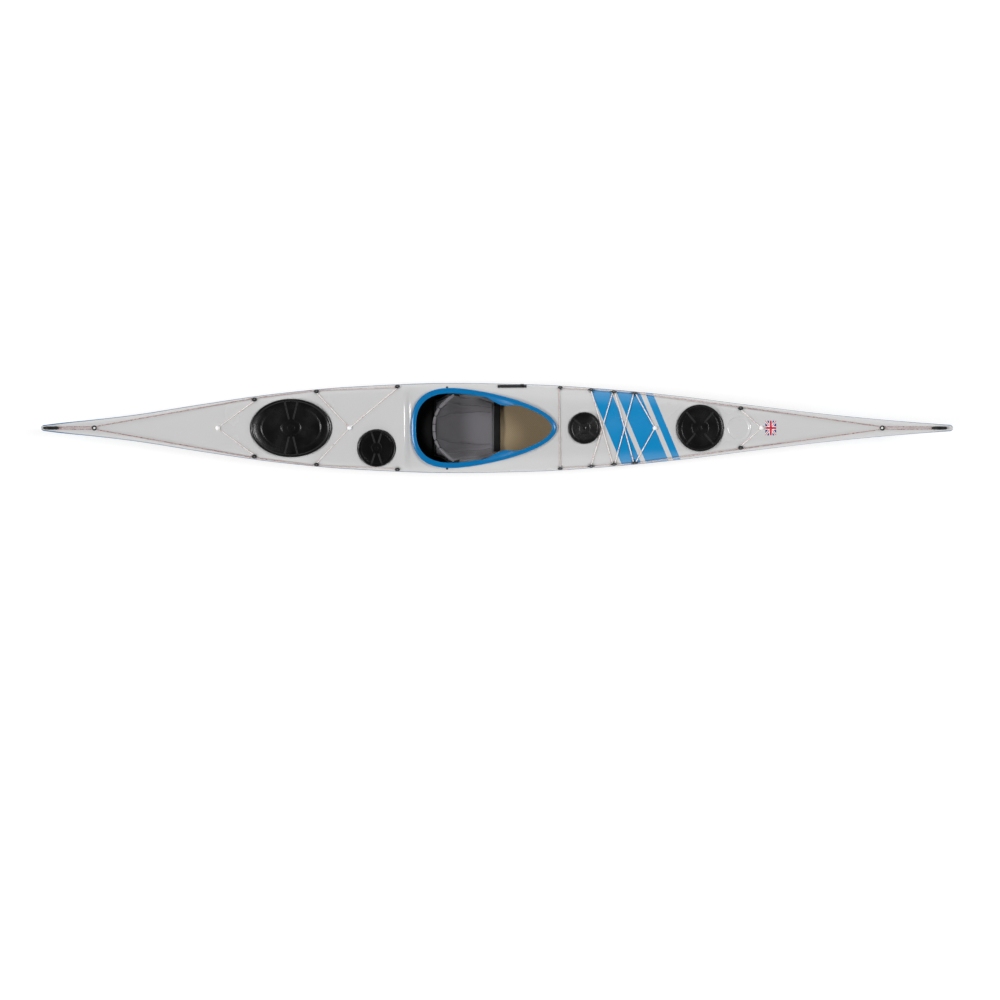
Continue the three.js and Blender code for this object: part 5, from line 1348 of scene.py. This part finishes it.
for name, points in {
    "aft": cross_cord("aft_outer", "aft"), "rear": cross_cord("aft_middle", "rear"),
    "bow": cross_cord("fore_fifth", "bow"),
    "fore": laid_over([
        cord_end("fore_second", 1), wrapped("fore_third", -1), wrapped("fore_fourth", 1), bead_point("fore"),
        wrapped("fore_fourth", -1)[::-1], wrapped("fore_third", 1)[::-1], cord_end("fore_second", -1),
    ], across_lift, (0, 1)),
    "rear_side": laid_over([bead_point("rear"), cord_end("aft_inner", 1)], across_lift),
}.items():
    dress(braided(f"{name}_shock_cord", points, shock_cord_radius), bungee_braid, 50, "flecked_cord",
          *([f"{name}_bungee"] if name != "rear_side" else []))
for name, share in bead_shares.items():
    dress(turned(f"{name}_bead", [
        (0, -1), *[(bead["radius"] * out, bead["height"] * up) for out, up in bead_dome], (0, bead["height"]),
    ], deck_frame(share * hull_length, 0), 32), bead_nylon, 60, "flecked_cord")

# Flag sticker
# A printed vinyl sticker of the British national flag on the foredeck, with its long side across
# the boat. It is thin and follows the crown of the deck.
sticker = {"x": 1639, "length": 64, "across": 87, "thick": 0.25, "cells": 24}
flag_white, flag_red = "#F0F0F0", "#C8203A"
# A glossy dark blue ground; the stripes are laid over it in white and red.
printed = surface("printed_gloss_vinyl", ("#22307F", "#1C2A74"), (0.2, 0.32), 30, 3, 0.01, IOR=1.5)
tree = printed.node_tree
x_at, y_at, _ = whereabouts(printed)
shares = []
for along, middle, size in ((y_at, 0, sticker["across"]), (x_at, sticker["x"], sticker["length"])):
    away = add(tree, "Math", {0: along, 1: middle / 1000}, operation="SUBTRACT")
    away = add(tree, "Math", {0: away, 1: size / 2000}, operation="DIVIDE")
    shares.append(add(tree, "Math", {0: away}, operation="ABSOLUTE"))
slant = add(tree, "Math", {0: shares[0], 1: shares[1]}, operation="SUBTRACT")
slant = add(tree, "Math", {0: slant}, operation="ABSOLUTE")
for stripe, width, colour in (
    (slant, 0.26, flag_white), (slant, 0.09, flag_red), (shares[0], 0.23, flag_white),
    (shares[1], 0.31, flag_white), (shares[0], 0.14, flag_red), (shares[1], 0.19, flag_red),
):
    tint(printed, add(tree, "Math", {0: stripe, 1: width}, operation="LESS_THAN"), linear(colour))
across = spaced(-sticker["across"] / 2, sticker["across"] / 2, sticker["across"] / sticker["cells"])
rings = []
for x in spaced(sticker["x"] - sticker["length"] / 2, sticker["x"] + sticker["length"] / 2, 8):
    rings.append([*[(x, y, deck_height(x, y) + fit + sticker["thick"]) for y in across],
                  *[(x, y, deck_height(x, y) + fit - sticker["thick"]) for y in across[::-1]]])
dress(loft("flag_sticker", rings), printed, 40, "deck_gelcoat")

bpy.data.objects.remove(deck_blank)
